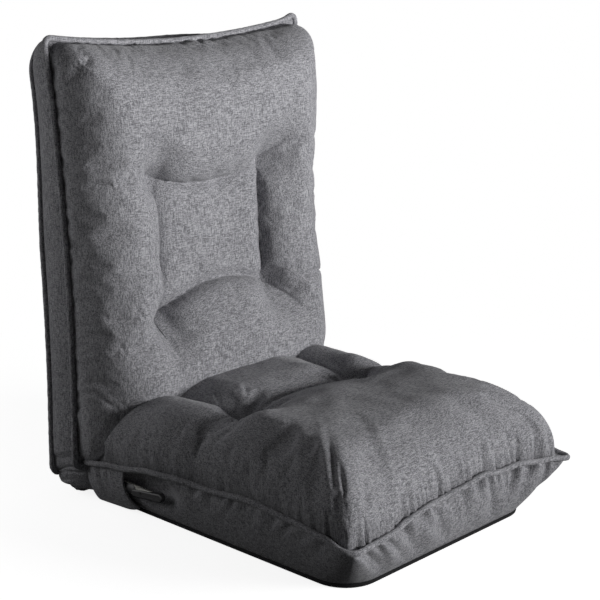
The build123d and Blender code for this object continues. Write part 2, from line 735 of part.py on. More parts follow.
for side, name in ((1, "left"), (-1, "right")):
    outer_x = outer_plate_x if side > 0 else -outer_plate_x - plate_thick
    inner_x = plate_inner_x if side > 0 else -plate_inner_x - plate_thick
    tails = [(y, z, plate_tail_radius) for y, z in seat_rivet_places]
    outer = side_plate(outer_x, [pivot_boss, shaft_boss, *tails])
    for y, z in seat_rivet_places:
        outer -= Pos(0, y, z) * hole(rivet_radius, outer_x)
    inner = side_plate(inner_x, [pivot_boss, shaft_boss, spacer_boss])
    save(f"hinge_plate_outer_{name}", *solids_of(outer))
    save(f"hinge_plate_inner_{name}", *solids_of(inner))
    save(f"ratchet_sector_{name}", *[back_place * solid for solid in solids_of(toothed_sector(side))])
    save(f"pawl_{name}", *solids_of(pawl(side)))

    # Pivot bolt: head against the inner plate, nut against the outer one
    head = rod(bolt_head_radius, plate_inner_x - bolt_head_thick, plate_inner_x - running_gap)
    shank_end = outer_plate_x + plate_thick + bolt_head_thick + bolt_tail
    shank = rod(bolt_radius, plate_inner_x - running_gap, shank_end)
    nut = Pos(outer_plate_x + plate_thick + running_gap, 0, 0) * extrude(
        Plane.YZ * RegularPolygon(nut_across / 2, 6, major_radius=False), bolt_head_thick)
    nut -= rod(bolt_radius, outer_plate_x, shank_end)
    bolt = head + shank
    pivot_bolts += [at_pivot * (piece if side > 0 else mirror(piece, Plane.YZ)) for piece in (bolt, nut)]

    # Spacer sleeve between the plates, with its rivet
    sleeve_start = plate_inner_x + plate_thick + running_gap
    sleeve = rod(rivet_radius + sleeve_wall, sleeve_start, outer_plate_x - running_gap)
    sleeve -= rod(rivet_radius + running_gap, plate_inner_x, outer_plate_x + plate_thick)
    pin_start = plate_inner_x - running_gap
    pin_end = outer_plate_x + plate_thick + running_gap
    pin = rod(rivet_radius, pin_start, pin_end)
    pin += rod(rivet_head_radius, pin_start - rivet_head_thick, pin_start)
    pin += rod(rivet_head_radius, pin_end, pin_end + rivet_head_thick)
    at_spacer = Pos(0, spacer_y, spacer_z)
    spacers += [at_spacer * (piece if side > 0 else mirror(piece, Plane.YZ)) for piece in (sleeve, pin)]

    # Rivets through plate and tube
    for y, z in seat_rivet_places:
        rivet = tube_rivet(outer_plate_x, seat_leg_x)
        plate_rivets.append(Pos(0, y, z) * (rivet if side > 0 else mirror(rivet, Plane.YZ)))
        seat_frame_drilled -= Pos(side * seat_leg_x, y, z) * rod(
            rivet_radius + running_gap, -tube_radius * 2, tube_radius * 2)
    for height in back_rivet_heights:
        rivet = tube_rivet(sector_inner_x, back_leg_x)
        sector_rivets.append(back_place * (Pos(0, back_tube_v, height) * (
            rivet if side > 0 else mirror(rivet, Plane.YZ))))
        back_frame_drilled -= Pos(side * back_leg_x, back_tube_v, height) * rod(
            rivet_radius + running_gap, -tube_radius * 2, tube_radius * 2)

save("seat_frame", seat_frame_drilled)
save("back_frame", back_place * back_frame_drilled)
save("back_cross_tubes", *[back_place * solid for piece in back_cross for solid in solids_of(piece)])
save("pivot_bolts", *pivot_bolts)
save("spacer_rivets", *spacers)
save("plate_rivets", *plate_rivets)
save("sector_rivets", *sector_rivets)

# ---------------------------------------------------------------- release shaft and lever
lever_inner_x = hem_x + hem_radius + arm_hem_gap
grip_start_x = lever_inner_x - (grip_thick - lever_plate) / 2
shaft_start = lever_inner_x - clip_thick - shaft_tail
end_clip_x = outer_plate_x + plate_thick + plate_gap
shaft_end = end_clip_x + clip_thick + shaft_tail
shaft = at_shaft * rod(shaft_radius, shaft_start, shaft_end)
save("release_shaft", shaft)

clip_places = (lever_inner_x - running_gap - clip_thick, lever_inner_x + lever_plate + running_gap,
               end_clip_x)
clips = [at_shaft * (rod(clip_radius, x, x + clip_thick) - rod(shaft_radius, x, x + clip_thick))
         for x in clip_places]
save("shaft_clips", *clips)

waist_y = grip_rear + lever_lap
arm_end_y = grip_tip + lever_end_gap


def lever_shape(x, thick, gap):
    """Outline of the lever arm, or of the pocket that holds it with a gap all round."""
    return plate(x, thick, (shaft_y, shaft_z, shaft_radius + hub_wall + gap),
                 (waist_y, grip_rear_height, lever_root_radius + gap),
                 (arm_end_y, grip_tip_height, lever_tip_radius + gap))


lever_arm = lever_shape(lever_inner_x, lever_plate, 0)
lever_arm -= at_shaft * hole(shaft_radius, lever_inner_x)
save("lever_arm", lever_arm)

grip_half = grip_height / 2
grip_nose_y = grip_tip + grip_half
grip_shape = plate(grip_start_x, grip_thick, (grip_rear, grip_rear_height, grip_half - grip_taper),
                   (grip_nose_y, grip_tip_height, grip_half))
grip_shape = fillet(grip_shape.edges().filter_by(Plane.YZ), grip_rounding)
grip_shape -= plate(grip_start_x - cut_margin, cut_margin + dish_depth,
                    (grip_nose_y + dish_length, grip_tip_height - dish_radius, dish_radius),
                    (grip_nose_y + dish_radius, grip_tip_height, dish_radius))
grip_shape -= lever_shape(lever_inner_x - pocket_gap, lever_plate + 2 * pocket_gap, pocket_gap)
save("lever_grip", *solids_of(grip_shape))

# Return spring coiled round the shaft
def coil_path(radius, pitch, turns):
    """Coil along X from tangent arcs, two to each quarter turn."""
    lift = pitch / 4
    slope = pitch / (2 * pi * radius)
    lean = slope * lift / 2 / sin(radians(45))
    joint_radius = sqrt(lean ** 2 + slope * lift * radius + lift ** 2 / 4 + radius ** 2) - lean

    def spot(quarter, reach):
        angle = radians(90 * quarter)
        return (lift * quarter, reach * cos(angle), reach * sin(angle))

    arcs = []
    for quarter in range(4 * turns):
        angle = radians(90 * quarter)
        heading = Vector(slope, -sin(angle), cos(angle)).normalized()
        joint = spot(quarter + 0.5, joint_radius)
        first = TangentArc(spot(quarter, radius), joint, tangent=heading)
        arcs += [first, TangentArc(joint, spot(quarter + 1, radius), tangent=first % 1)]
    return Curve() + arcs


spring_path = coil_path(shaft_radius + spring_gap + spring_wire, spring_pitch, spring_turns)
wire_section = RegularPolygon(spring_wire, spring_sides)
spring = sweep(Plane(spring_path @ 0, z_dir=spring_path % 0) * wire_section, spring_path)
save("return_spring", Pos(-plate_inner_x + spring_from_plate, shaft_y, shaft_z) * spring)
print(f"return spring: least gap between turns {spring_pitch - 2 * spring_wire:.2f} mm")

print(f"shaft at y {shaft_y:.1f}, z {shaft_z:.1f}; notch pitch {notch_pitch:.3f} degrees")
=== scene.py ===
# %% [markdown]
# # A tufted folding floor chair
#
# The chair has no legs: a padded seat lies flat on the floor, and a padded back is joined to it
# by two ratchet hinges. The steel inside comes as a measured frame. This notebook makes
# everything soft around it, one sewn piece at a time, and then lights it like a studio shot.

# %% Load the measured frame
import json
import math
import bpy
import numpy as np
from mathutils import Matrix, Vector


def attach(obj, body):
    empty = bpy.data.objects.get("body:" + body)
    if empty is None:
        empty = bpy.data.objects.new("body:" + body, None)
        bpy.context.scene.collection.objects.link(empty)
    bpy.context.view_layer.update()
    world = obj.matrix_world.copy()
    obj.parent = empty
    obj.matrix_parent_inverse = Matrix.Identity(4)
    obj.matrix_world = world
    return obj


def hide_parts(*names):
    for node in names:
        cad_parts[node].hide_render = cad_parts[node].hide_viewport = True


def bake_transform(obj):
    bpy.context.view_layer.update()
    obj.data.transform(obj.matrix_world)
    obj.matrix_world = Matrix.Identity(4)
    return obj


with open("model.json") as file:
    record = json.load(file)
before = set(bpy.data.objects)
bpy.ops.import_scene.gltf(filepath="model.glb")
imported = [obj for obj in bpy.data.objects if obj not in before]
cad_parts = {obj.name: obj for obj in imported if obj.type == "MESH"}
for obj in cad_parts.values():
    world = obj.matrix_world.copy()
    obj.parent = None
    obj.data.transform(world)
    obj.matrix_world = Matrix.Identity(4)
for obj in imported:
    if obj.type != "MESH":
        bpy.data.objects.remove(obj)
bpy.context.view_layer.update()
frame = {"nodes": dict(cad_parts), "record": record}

# %% [markdown]
# ## Two flat drawing boards
#
# The seat and the back are each drawn on a flat board and then tilted into place: the seam of
# the seat falls a little to the rear, and the back leans on the hinge axis. A cushion is then
# simply a height above its board, and one function carries the points into the room. Modelling
# straight in the room would also do, but then no height would be a plain number.

# %% Place points from the two boards
SEAM_HEIGHT = 0.090
SEAM_SLOPE = math.radians(2.4)
HINGE_Y, HINGE_Z = 0.325, 0.038
LEAN = math.radians(2.12)
BACK_FRONT, BACK_REAR = -0.033, 0.030


def from_seat_board(x, y, h):
    """Points of the seat: x across, y to the rear, h above the seam."""
    return np.stack([x + 0 * y, y * np.cos(SEAM_SLOPE) + h * np.sin(SEAM_SLOPE),
                     SEAM_HEIGHT - y * np.sin(SEAM_SLOPE) + h * np.cos(SEAM_SLOPE)], axis=-1)


def from_back_board(x, v, w):
    """Points of the back: x across, v to the rear of the hinge axis, w up along the back."""
    return np.stack([x + 0 * w, HINGE_Y + v * np.cos(LEAN) + w * np.sin(LEAN),
                     HINGE_Z + w * np.cos(LEAN) - v * np.sin(LEAN)], axis=-1)


print("hinge axis at y", HINGE_Y, "and z", HINGE_Z)

# %% [markdown]
# ## Outlines with ears
#
# A stuffed cover is drawn in along its sides and keeps its corners, which stand out as small
# ears. Each outline is a square that one function spreads over the board. The seam line, the
# band below it and the cushion above it all use that function, so they always meet. Curves
# drawn by hand would have to be matched again after each change.

# %% Spread a square over an eared outline
SEAT_FORM = dict(low=-0.325, high=0.286, low_half=0.274, high_half=0.262,
                 side_dip=0.019, low_dip=0.030, high_dip=0.0, first_corner=0.024)
BACK_FORM = dict(low=0.027, high=0.7416, low_half=0.279, high_half=0.286,
                 side_dip=0.014, low_dip=0.0, high_dip=0.022)
BASE_FORM = dict(low=-0.281, high=0.281, low_half=0.232, high_half=0.232,
                 side_dip=0.0, low_dip=0.0, high_dip=0.0)


def spread(u, v, form, puff=0.0):
    """Board coordinates of points given on a square from -1 to 1; puff swells the outline."""
    share = (v + 1) / 2
    half = form["low_half"] + (form["high_half"] - form["low_half"]) * share
    half = half - 4 * form["side_dip"] * share * (1 - share) + puff
    across = 1 - u ** 2
    low = form["low"] + form["low_dip"] * across - puff
    high = form["high"] - form["high_dip"] * across + puff
    return u * half, low + (high - low) * share


print("a point on the seat's edge:", spread(1.0, 0.0, SEAT_FORM))

# %% Walk once round an outline
EAR = 0.010
BASE_CORNER = 0.058
BACK_REAR_CORNER = 0.062
CORNER_POINTS = 13


def rim_square(form, low_radius, high_radius, per_side):
    """A closed line round the square, with round corners, from the low left corner onwards."""
    wide = form["low_half"] + form["high_half"]
    tall = form["high"] - form["low"]
    corners = []
    for quarter, (cu, cv) in enumerate(((-1, -1), (1, -1), (1, 1), (-1, 1))):
        radius = low_radius if cv < 0 else high_radius
        radius = form.get("first_corner", radius) if quarter == 0 else radius
        ru, rv = 2 * radius / wide, 2 * radius / tall
        angles = np.radians(np.linspace(180, 270, CORNER_POINTS) + 90 * quarter)
        corners.append(np.stack([cu * (1 - ru) + ru * np.cos(angles),
                                 cv * (1 - rv) + rv * np.sin(angles)], axis=1))
    sides = []
    middle = CORNER_POINTS // 2
    for corner, following in zip(corners, corners[1:] + corners[:1]):
        run = np.vstack([corner[middle:], following[:middle + 1]])
        gaps = np.hypot(*(np.diff(run, axis=0) * (wide / 2, tall / 2)).T)
        along = np.concatenate([[0], np.cumsum(gaps)])
        places = np.linspace(0, along[-1], per_side, endpoint=False)
        sides.append([np.interp(places, along, coordinate) for coordinate in run.T])
    return np.hstack(sides)


def rim(form, low_radius, high_radius, per_side, puff=0.0):
    """The same line on the board."""
    return spread(*rim_square(form, low_radius, high_radius, per_side), form, puff)


def base_rim(per_side, puff=0.0):
    """The rim of the black base."""
    return rim(BASE_FORM, BASE_CORNER, BASE_CORNER, per_side, puff)


def outward(x, y):
    """Unit directions that point out of a closed line, square to it."""
    dx, dy = np.roll(x, -1) - np.roll(x, 1), np.roll(y, -1) - np.roll(y, 1)
    length = np.hypot(dx, dy)
    return dy / length, -dx / length


print("the base reaches from", base_rim(9)[1].min().round(3), "to", base_rim(9)[1].max().round(3))

# %% [markdown]
# ## The seam of the seat wanders
#
# The stuffing pushes the piped seam up and down, and the lever pushes it outwards on the right
# of the sitter. A few places round the seat say by how much. Going round, 0 is the front
# corner on the lever's side, 1 the other front corner, 2 and 3 the rear corners. A curve could
# be pulled about by hand instead, but a short table is quick to correct against a picture.

# %% Wander of the seat seam
SEAM_WANDER = ((0.00, -0.013), (0.20, -0.016), (0.27, -0.009), (0.40, -0.003), (0.52, 0.000),
               (0.63, 0.007), (0.71, 0.002), (0.77, 0.004), (0.90, -0.004), (1.00, -0.012),
               (1.10, 0.000), (1.30, 0.006), (1.60, 0.005), (1.85, 0.001), (2.00, -0.004),
               (2.50, 0.000), (3.00, -0.005), (3.13, 0.002), (3.27, 0.012), (3.35, 0.011),
               (3.47, 0.006), (3.63, 0.011), (3.80, 0.004), (3.91, -0.002), (3.97, -0.011),
               (4.00, -0.013))
LEVER_BULGE = ((3.00, 0.003), (3.10, 0.006), (3.20, 0.010), (3.28, 0.011), (3.36, 0.007), (3.44, 0.0))
print("the seam is planned at", len(SEAM_WANDER), "places round the seat")

# %% Read the tables anywhere on the seat
TINY = 1e-9


def round_place(u, v):
    """Where the ray from the middle of the square through a point meets its edge, from 0 to 4."""
    reach = np.maximum(np.maximum(np.abs(u), np.abs(v)), TINY)
    u, v = u / reach, v / reach
    return np.select([v <= -1 + TINY, u >= 1 - TINY, v >= 1 - TINY],
                     [(u + 1) / 2, 1 + (v + 1) / 2, 2 + (1 - u) / 2], 3 + (1 - v) / 2)


def smooth(share):
    """From 0 to 1 with a gentle start and end."""
    return share * share * (3 - 2 * share)


def eased(places, table):
    """Smooth values between the rows of a table."""
    spots, values = np.array(table).T
    row = np.clip(np.searchsorted(spots, places) - 1, 0, len(spots) - 2)
    share = smooth(np.clip((places - spots[row]) / (spots[row + 1] - spots[row]), 0, 1))
    return values[row] + (values[row + 1] - values[row]) * share


def seat_wander(u, v):
    """Lift and outward bulge of the seat at points of the square, fading towards its middle."""
    place = round_place(u, v)
    near = smooth(np.clip((np.maximum(np.abs(u), np.abs(v)) - 0.45) / 0.55, 0, 1))
    bulge = np.where(place > 3, eased(place, LEVER_BULGE), 0.0)
    return eased(place, SEAM_WANDER) * near, -bulge * near


def seat_rim(per_side):
    """The seam of the seat in the room, with its outward directions."""
    u, v = rim_square(SEAT_FORM, EAR, EAR, per_side)
    x, y = spread(u, v, SEAT_FORM)
    lift, bulge = seat_wander(u, v)
    x = x + bulge
    out_x, out_y = outward(x, y)
    return from_seat_board(x, y, lift), np.stack([out_x, out_y, np.zeros_like(out_x)], axis=1)


lifts = [lift for _, lift in SEAM_WANDER]
print("the seam wanders between", min(lifts), "and", max(lifts))

# %% [markdown]
# ## Meshes from grids of points
#
# Every soft piece here is a grid of points, so that its threads, seams and gathers run the way
# the cloth was cut. A closed cushion gets a flat underside inside its seam. A coarse cage with
# a Subdivision modifier would be quicker, but folds a few millimetres wide need a fine grid.

# %% Turn grids into pieces
scene = bpy.context.scene


def in_scene(name, data):
    """A new object in the scene, made of a mesh, a lamp or a camera."""
    thing = bpy.data.objects.new(name, data)
    scene.collection.objects.link(thing)
    return thing


def new_piece(name, points, faces, body):
    """A smooth mesh object; it rides on one body of the frame, if one is given."""
    mesh = bpy.data.meshes.new(name)
    mesh.from_pydata(np.asarray(points, float).reshape(-1, 3).tolist(), [], faces)
    mesh.update()
    mesh.polygons.foreach_set("use_smooth", [True] * len(mesh.polygons))
    piece = in_scene(name, mesh)
    if body:
        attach(piece, body)
    return piece


def grid_faces(rows, columns, closed=False):
    """Four-sided faces between neighbouring rows; closed joins the last column to the first."""
    spots = np.arange(rows * columns).reshape(rows, columns)
    beside = np.roll(spots, -1, axis=1)
    faces = np.stack([spots[:-1], beside[:-1], beside[1:], spots[1:]], axis=-1)
    return (faces if closed else faces[:, :-1]).reshape(-1, 4).tolist()


def grid_rim(rows, columns):
    """The border of a grid, once round."""
    spots = np.arange(rows * columns).reshape(rows, columns)
    return np.concatenate([spots[0], spots[1:, -1], spots[-1, -2::-1], spots[-2:0:-1, 0]]).tolist()


def pillow(name, points, body):
    """A grid of points closed by one flat underside."""
    rows, columns = points.shape[:2]
    return new_piece(name, points, grid_faces(rows, columns) + [grid_rim(rows, columns)[::-1]], body)


def ring_band(name, rings, body, lid=True):
    """A closed wall through rings of points, with a flat floor and, if wanted, a flat lid."""
    count = len(rings[0])
    faces = grid_faces(len(rings), count, closed=True)
    faces.append(range(count)[::-1])
    if lid:
        faces.append(range((len(rings) - 1) * count, len(rings) * count))
    return new_piece(name, np.vstack(rings), faces, body)


def tell(piece):
    """Say how fine a piece is."""
    print(piece.name, "has", len(piece.data.vertices), "points")


print("a cushion of 9 by 9 points has", len(grid_faces(9, 9)), "upper faces")

# %% Measure over a grid
def even(count, ease=0.25):
    """Places from -1 to 1 that crowd towards both ends, where a cushion turns steep."""
    s = np.linspace(-1, 1, count)
    return s * (1 + ease) - ease * s ** 3


def grid_normals(points):
    """Unit normals of a grid of points."""
    normals = np.cross(np.gradient(points, axis=1), np.gradient(points, axis=0))
    return normals / np.maximum(np.linalg.norm(normals, axis=-1, keepdims=True), 1e-12)


def walked(points, axis):
    """Distance over the surface from the first row or column of a grid."""
    steps = np.linalg.norm(np.diff(points, axis=axis), axis=-1)
    first = np.zeros_like(np.take(steps, [0], axis=axis))
    return np.cumsum(np.concatenate([first, steps], axis=axis), axis=axis)


def walks(points):
    """Distances over the surface from the low, high, left and right border of a grid."""
    high = walked(points[::-1], 0)[::-1]
    right = walked(points[:, ::-1], 1)[:, ::-1]
    return walked(points, 0), high, walked(points, 1), right


print("places that crowd towards both ends:", even(5).round(2))

# %% [markdown]
# ## How a stuffed cover swells and where it is held
#
# Between its seams a stuffed cover swells like a drop: steep at the seam, flat at the crown.
# Where a tuft or a crease holds it down, it rises again more gently. Small functions describe
# both, and a smooth noise keeps the surface from looking machined. The form could be sculpted
# by hand, but a function can be changed later by one number.

# %% Swells and creases
def swell(distance, reach, fullness=2.0):
    """From 0 at a seam to 1 at the given reach from it, along a superellipse."""
    share = np.clip(distance / reach, 0, 1)
    return (1 - (1 - share) ** fullness) ** (1 / fullness)


def dome(fullness, corner, *edges):
    """Swell between several seams at once; each is (distance, reach), and corners come out round."""
    near = sum((1 - np.clip(distance / reach, 0, 1)) ** corner for distance, reach in edges) ** (1 / corner)
    return (1 - np.clip(near, 0, 1) ** fullness) ** (1 / fullness)


def to_line(x, y, points):
    """Distance to a line through points, and the place of the nearest spot from 0 to 1."""
    best = np.full(np.shape(x), np.inf)
    place = np.zeros(np.shape(x))
    runs = len(points) - 1
    for run in range(runs):
        (ax, ay), (bx, by) = points[run][:2], points[run + 1][:2]
        length = (bx - ax) ** 2 + (by - ay) ** 2
        share = np.clip(((x - ax) * (bx - ax) + (y - ay) * (by - ay)) / length, 0, 1)
        distance = np.hypot(x - ax - share * (bx - ax), y - ay - share * (by - ay))
        nearer = distance < best
        place = np.where(nearer, (run + share) / runs, place)
        best = np.where(nearer, distance, best)
    return best, place


def crease(x, y, points, reach):
    """How far a crease pulls the surface down; each of its points is (x, y, depth)."""
    distance, place = to_line(x, y, points)
    depth = np.interp(place, np.linspace(0, 1, len(points)), [point[2] for point in points])
    return depth * (1 - swell(distance, reach, 1.4))


def strongest(*pulls):
    """Several pulls at one place: the strongest counts, rounded where two are alike."""
    total = sum(np.clip(pull, 0, None) ** 6 for pull in pulls)
    return total ** (1 / 6)


print("swell at a tenth, half and all of its reach:", swell(np.array([0.1, 0.5, 1.0]), 1.0).round(2))

# %% Tufts and gentle unevenness
NOISE_CELLS = 64


def tufted(height, x, y, tufts, level, reach):
    """A height that its tufts hold down to their own level."""
    for tuft_x, tuft_y in tufts:
        near = np.exp(-(np.hypot(x - tuft_x, y - tuft_y) / reach) ** 2)
        height = height - np.clip(height - level, 0, None) * near
    return height


def noise_2d(x, y, size, seed):
    """Smooth unevenness between -1 and 1, with lumps of about the given size."""
    table = np.random.default_rng(seed).uniform(-1, 1, (NOISE_CELLS, NOISE_CELLS))
    gx, gy = np.asarray(x) / size + 20.3, np.asarray(y) / size + 20.7
    ix, iy = np.floor(gx).astype(int), np.floor(gy).astype(int)
    fx, fy = smooth(gx - ix), smooth(gy - iy)
    low_x, high_x = ix % NOISE_CELLS, (ix + 1) % NOISE_CELLS
    low_y, high_y = iy % NOISE_CELLS, (iy + 1) % NOISE_CELLS
    low = table[low_x, low_y] * (1 - fx) + table[high_x, low_y] * fx
    high = table[low_x, high_y] * (1 - fx) + table[high_x, high_y] * fx
    return low * (1 - fy) + high * fy


one_tuft = tufted(0.1, 0.0, np.array([0.0, 0.03, 0.1]), ((0.0, 0.0),), 0.04, 0.03)
print("a height of 0.1 at a tuft, beside it and away from it:", one_tuft.round(3))

# %% [markdown]
# ## Gathers
#
# Where a long piece of cloth is sewn to a shorter one, it stands in small folds that run away
# from the seam. Each fold is a sharp valley beside a round ridge, and it dies out after a few
# centimetres. A seeded generator places them, so each run of the notebook sews the same chair.
# A bump in the material would be easier, but it leaves the outline of the cushion smooth.

# %% Folds that run away from a seam
def gathers(along, away, seed, start, end, pitch, length, depth, lean=0.0):
    """Height of many small folds between two places along a seam; lean slants them."""
    dice = np.random.default_rng(seed)
    height = np.zeros(np.shape(along))
    place = start
    while place < end:
        reach = length * dice.uniform(0.45, 1.25)
        deep = depth * dice.uniform(0.35, 1.2)
        width = pitch * dice.uniform(0.16, 0.26)
        slant = lean + dice.uniform(-0.2, 0.2)
        side = dice.choice((-1.0, 1.0))
        across = (along - place - slant * away) / (width * (1 + 1.4 * away / reach))
        fade = np.clip(1 - away / reach, 0, 1) ** 1.2
        ridge = 0.7 * np.exp(-(across * 0.8 - 1.9 * side) ** 2)
        valley = np.exp(-np.abs(across) ** 1.4)
        height += deep * fade * (ridge - valley)
        place += pitch * dice.uniform(0.6, 1.5)
    return height


def all_gathers(*rows):
    """Several rows of folds together; each row lists what gathers is told."""
    return sum(gathers(*row) for row in rows)


few_folds = gathers(np.linspace(0, 0.1, 500), 0.0, 1, 0.0, 0.1, 0.015, 0.05, 0.002)
print("deepest of a few folds:", few_folds.min().round(4))

# %% [markdown]
# ## Stuffing by simulation
#
# The cover starts as the planned form, held at its seams and tufts, with a little more cloth
# than the form needs, and swells under pressure for twenty frames. The simulation runs on
# every second grid line, and what it adds is spread over the fine grid. A cap keeps each
# point within a few millimetres of the plan, so the cover still fits the frame. A formula
# alone can look machined, and a simulation alone strays from the measured outline.

# %% Blow up a cover
SIMULATED_FRAMES = 20
SPARE_CLOTH = 0.02
PRESSURE = 4.0
LARGEST_MOVE = 0.006
HOLD_LEVELS = 20
TUFT_HOLD = 0.016


def cover_hold(x, y, tufts):
    """How firmly a cover is held, from 0 to 1: sewn along its border and round its tufts."""
    hold = np.zeros(x.shape)
    for tuft_x, tuft_y in tufts:
        hold = np.maximum(hold, np.clip(1.6 - np.hypot(x - tuft_x, y - tuft_y) / TUFT_HOLD, 0, 1))
    hold[0], hold[-1], hold[:, 0], hold[:, -1] = 1, 1, 1, 1
    return hold


def halfway(coarse):
    """Twice as fine a grid, whose new lines lie halfway between the old ones."""
    for _ in range(2):
        fine = np.repeat(coarse, 2, axis=0)[:-1]
        fine[1::2] = 0.5 * (coarse[:-1] + coarse[1:])
        coarse = fine.swapaxes(0, 1)
    return coarse


def blown_up(points, hold):
    """What a simulated swelling adds to a grid of points; hold is 1 where the cover is sewn."""
    plan, held = points[::2, ::2], hold[::2, ::2]
    rows, columns = plan.shape[:2]
    trial = new_piece("cover_on_trial", plan, grid_faces(rows, columns), None)
    group = trial.vertex_groups.new(name="sewn")
    levels = np.round(held.ravel() * HOLD_LEVELS).astype(int)
    for level in np.unique(levels[levels > 0]):
        group.add(np.flatnonzero(levels == level).tolist(), level / HOLD_LEVELS, "REPLACE")
    cloth = trial.modifiers.new("cloth", "CLOTH")
    cover = cloth.settings
    cover.vertex_group_mass = "sewn"
    cover.quality = 5
    cover.tension_stiffness = cover.compression_stiffness = 20
    cover.shear_stiffness = 8
    cover.bending_stiffness = 0.2
    cover.use_pressure = True
    cover.uniform_pressure_force = PRESSURE
    cover.shrink_min = -SPARE_CLOTH
    cover.effector_weights.gravity = 0
    cloth.point_cache.frame_end = SIMULATED_FRAMES
    for number in range(1, SIMULATED_FRAMES + 1):
        scene.frame_set(number)
    swollen = trial.evaluated_get(bpy.context.evaluated_depsgraph_get()).to_mesh()
    flat = np.empty(rows * columns * 3, dtype=np.float32)
    swollen.vertices.foreach_get("co", flat)
    bpy.data.objects.remove(trial)
    scene.frame_set(1)
    added = flat.reshape(rows, columns, 3) - plan
    size = np.linalg.norm(added, axis=-1, keepdims=True)
    print("before the cap the cover moved by", (size.mean() * 1000).round(1), "mm on average")
    return halfway(added * np.minimum(1, LARGEST_MOVE / np.maximum(size, TINY)))


# %% [markdown]
# ## Back cushion
#
# The front of the back is one sewn cover with four tufts. They hold a shallow centre panel,
# and around it stand a head pillow, two side bolsters and a lumbar pillow. The panel's upper
# edge sags and its lower edge arches, and short folds run outwards from the tufts. Left and
# right are as one sees the chair from the front. A fold is its reach and then its points.
# Separate pillows could be pushed together, but one height over one board keeps the cloth
# between them in one piece.

# %% Tufts, folds and centre panel of the back
TUFT_X = 0.132
PANEL_TOP = 0.508
PANEL_FOOT_RIGHT, PANEL_FOOT_LEFT = 0.282, 0.267
PANEL_MIDDLE = 0.39
PANEL_FLOOR, PANEL_CROWN = 0.046, 0.014
BACK_TUFTS = ((-TUFT_X, PANEL_TOP), (TUFT_X, PANEL_TOP),
              (-TUFT_X, PANEL_FOOT_LEFT), (TUFT_X, PANEL_FOOT_RIGHT))
BACK_TUFT_HEIGHT = 0.042
TUFT_FOLDS = ((0.034, (TUFT_X, PANEL_TOP, 0.030), (0.156, 0.527, 0.018), (0.182, 0.556, 0.0)),
              (0.034, (-TUFT_X, PANEL_TOP, 0.026), (-0.150, 0.524, 0.010), (-0.170, 0.538, 0.0)),
              (0.036, (TUFT_X, PANEL_FOOT_RIGHT, 0.032), (0.160, 0.258, 0.020), (0.187, 0.216, 0.0)),
              (0.032, (-TUFT_X, PANEL_FOOT_LEFT, 0.030), (-0.133, 0.235, 0.015), (-0.128, 0.200, 0.0)))
BOLSTER_FOLD = ((0.170, 0.290, 0.0), (0.205, 0.292, 0.007), (0.240, 0.286, 0.005), (0.262, 0.276, 0.0))
BACK_CROWN = ((0.03, 0.094), (0.10, 0.106), (0.18, 0.114), (0.27, 0.110), (0.38, 0.100),
              (0.51, 0.091), (0.60, 0.096), (0.68, 0.093), (0.74, 0.088))


def panel_distance(x, w):
    """Distance outside the panel's edge, negative inside it."""
    across = np.clip(x / TUFT_X, -1, 1)
    top = PANEL_TOP - 0.024 * (1 - across ** 2)
    foot = (PANEL_FOOT_RIGHT + PANEL_FOOT_LEFT) / 2 + (PANEL_FOOT_RIGHT - PANEL_FOOT_LEFT) / 2 * across
    foot = foot + 0.033 * (1 - across ** 2)
    waist = TUFT_X - 0.008 * np.clip(1 - ((w - PANEL_MIDDLE) / 0.12) ** 2, 0, 1)
    dx = np.abs(x) - waist
    dw = np.maximum(w - top, foot - w)
    outside = np.hypot(np.maximum(dx, 0), np.maximum(dw, 0))
    return outside + np.minimum(np.maximum(dx, dw), 0)


print("the middle of the panel is", -panel_distance(0.0, PANEL_MIDDLE).round(3), "m inside its edge")

# %% Height of the back cushion
def back_height(x, w, edge_side, edge_top, edge_foot):
    """Height of the cushion in front of its seam."""
    crown = eased(w, BACK_CROWN)
    full = crown * dome(2.3, 6, (edge_side, 0.095), (edge_top, 0.120), (edge_foot, 0.100))
    outside = panel_distance(x, w)
    floor = PANEL_FLOOR + PANEL_CROWN * swell(-outside, 0.055)
    beside = np.clip((np.abs(x) - 0.10) / 0.05, 0, 1) * np.clip(1 - np.abs(w - PANEL_MIDDLE) / 0.16, 0, 1)
    rise = swell(np.maximum(outside, 0), 0.066 + 0.010 * beside, 1.55)
    height = np.minimum(full, floor + (full - floor) * rise)
    folds = strongest(*(crease(x, w, points, reach) for reach, *points in TUFT_FOLDS))
    height = tufted(height - folds * rise ** 0.4, x, w, BACK_TUFTS, BACK_TUFT_HEIGHT, 0.030)
    return height - crease(x, w, BOLSTER_FOLD, 0.014)


def cushion_grid(form, columns, rows):
    """A cushion's grid: places on the square, board points, distances to the side, low and high seams."""
    s, t = np.meshgrid(even(columns), even(rows))
    first = 1 + 0.8 * ("first_corner" in form) * (s < 0) * (t < 0)
    pull = 1 - 0.022 * first * (s * t) ** 8
    u, v = s * pull, t * pull
    x, y = spread(u, v, form)
    outer_x, _ = spread(np.ones_like(s), v, form)
    _, low_y = spread(u, -np.ones_like(s), form)
    _, high_y = spread(u, np.ones_like(s), form)
    side = np.clip(outer_x - np.abs(x), 0, None) * (np.abs(s) < 1)
    low = np.clip(y - low_y, 0, None) * (t > -1)
    high = np.clip(high_y - y, 0, None) * (t < 1)
    return u, v, x, y, side, low, high


print("the back has", len(BACK_TUFTS), "tufts and", len(TUFT_FOLDS), "folds that run out from them")

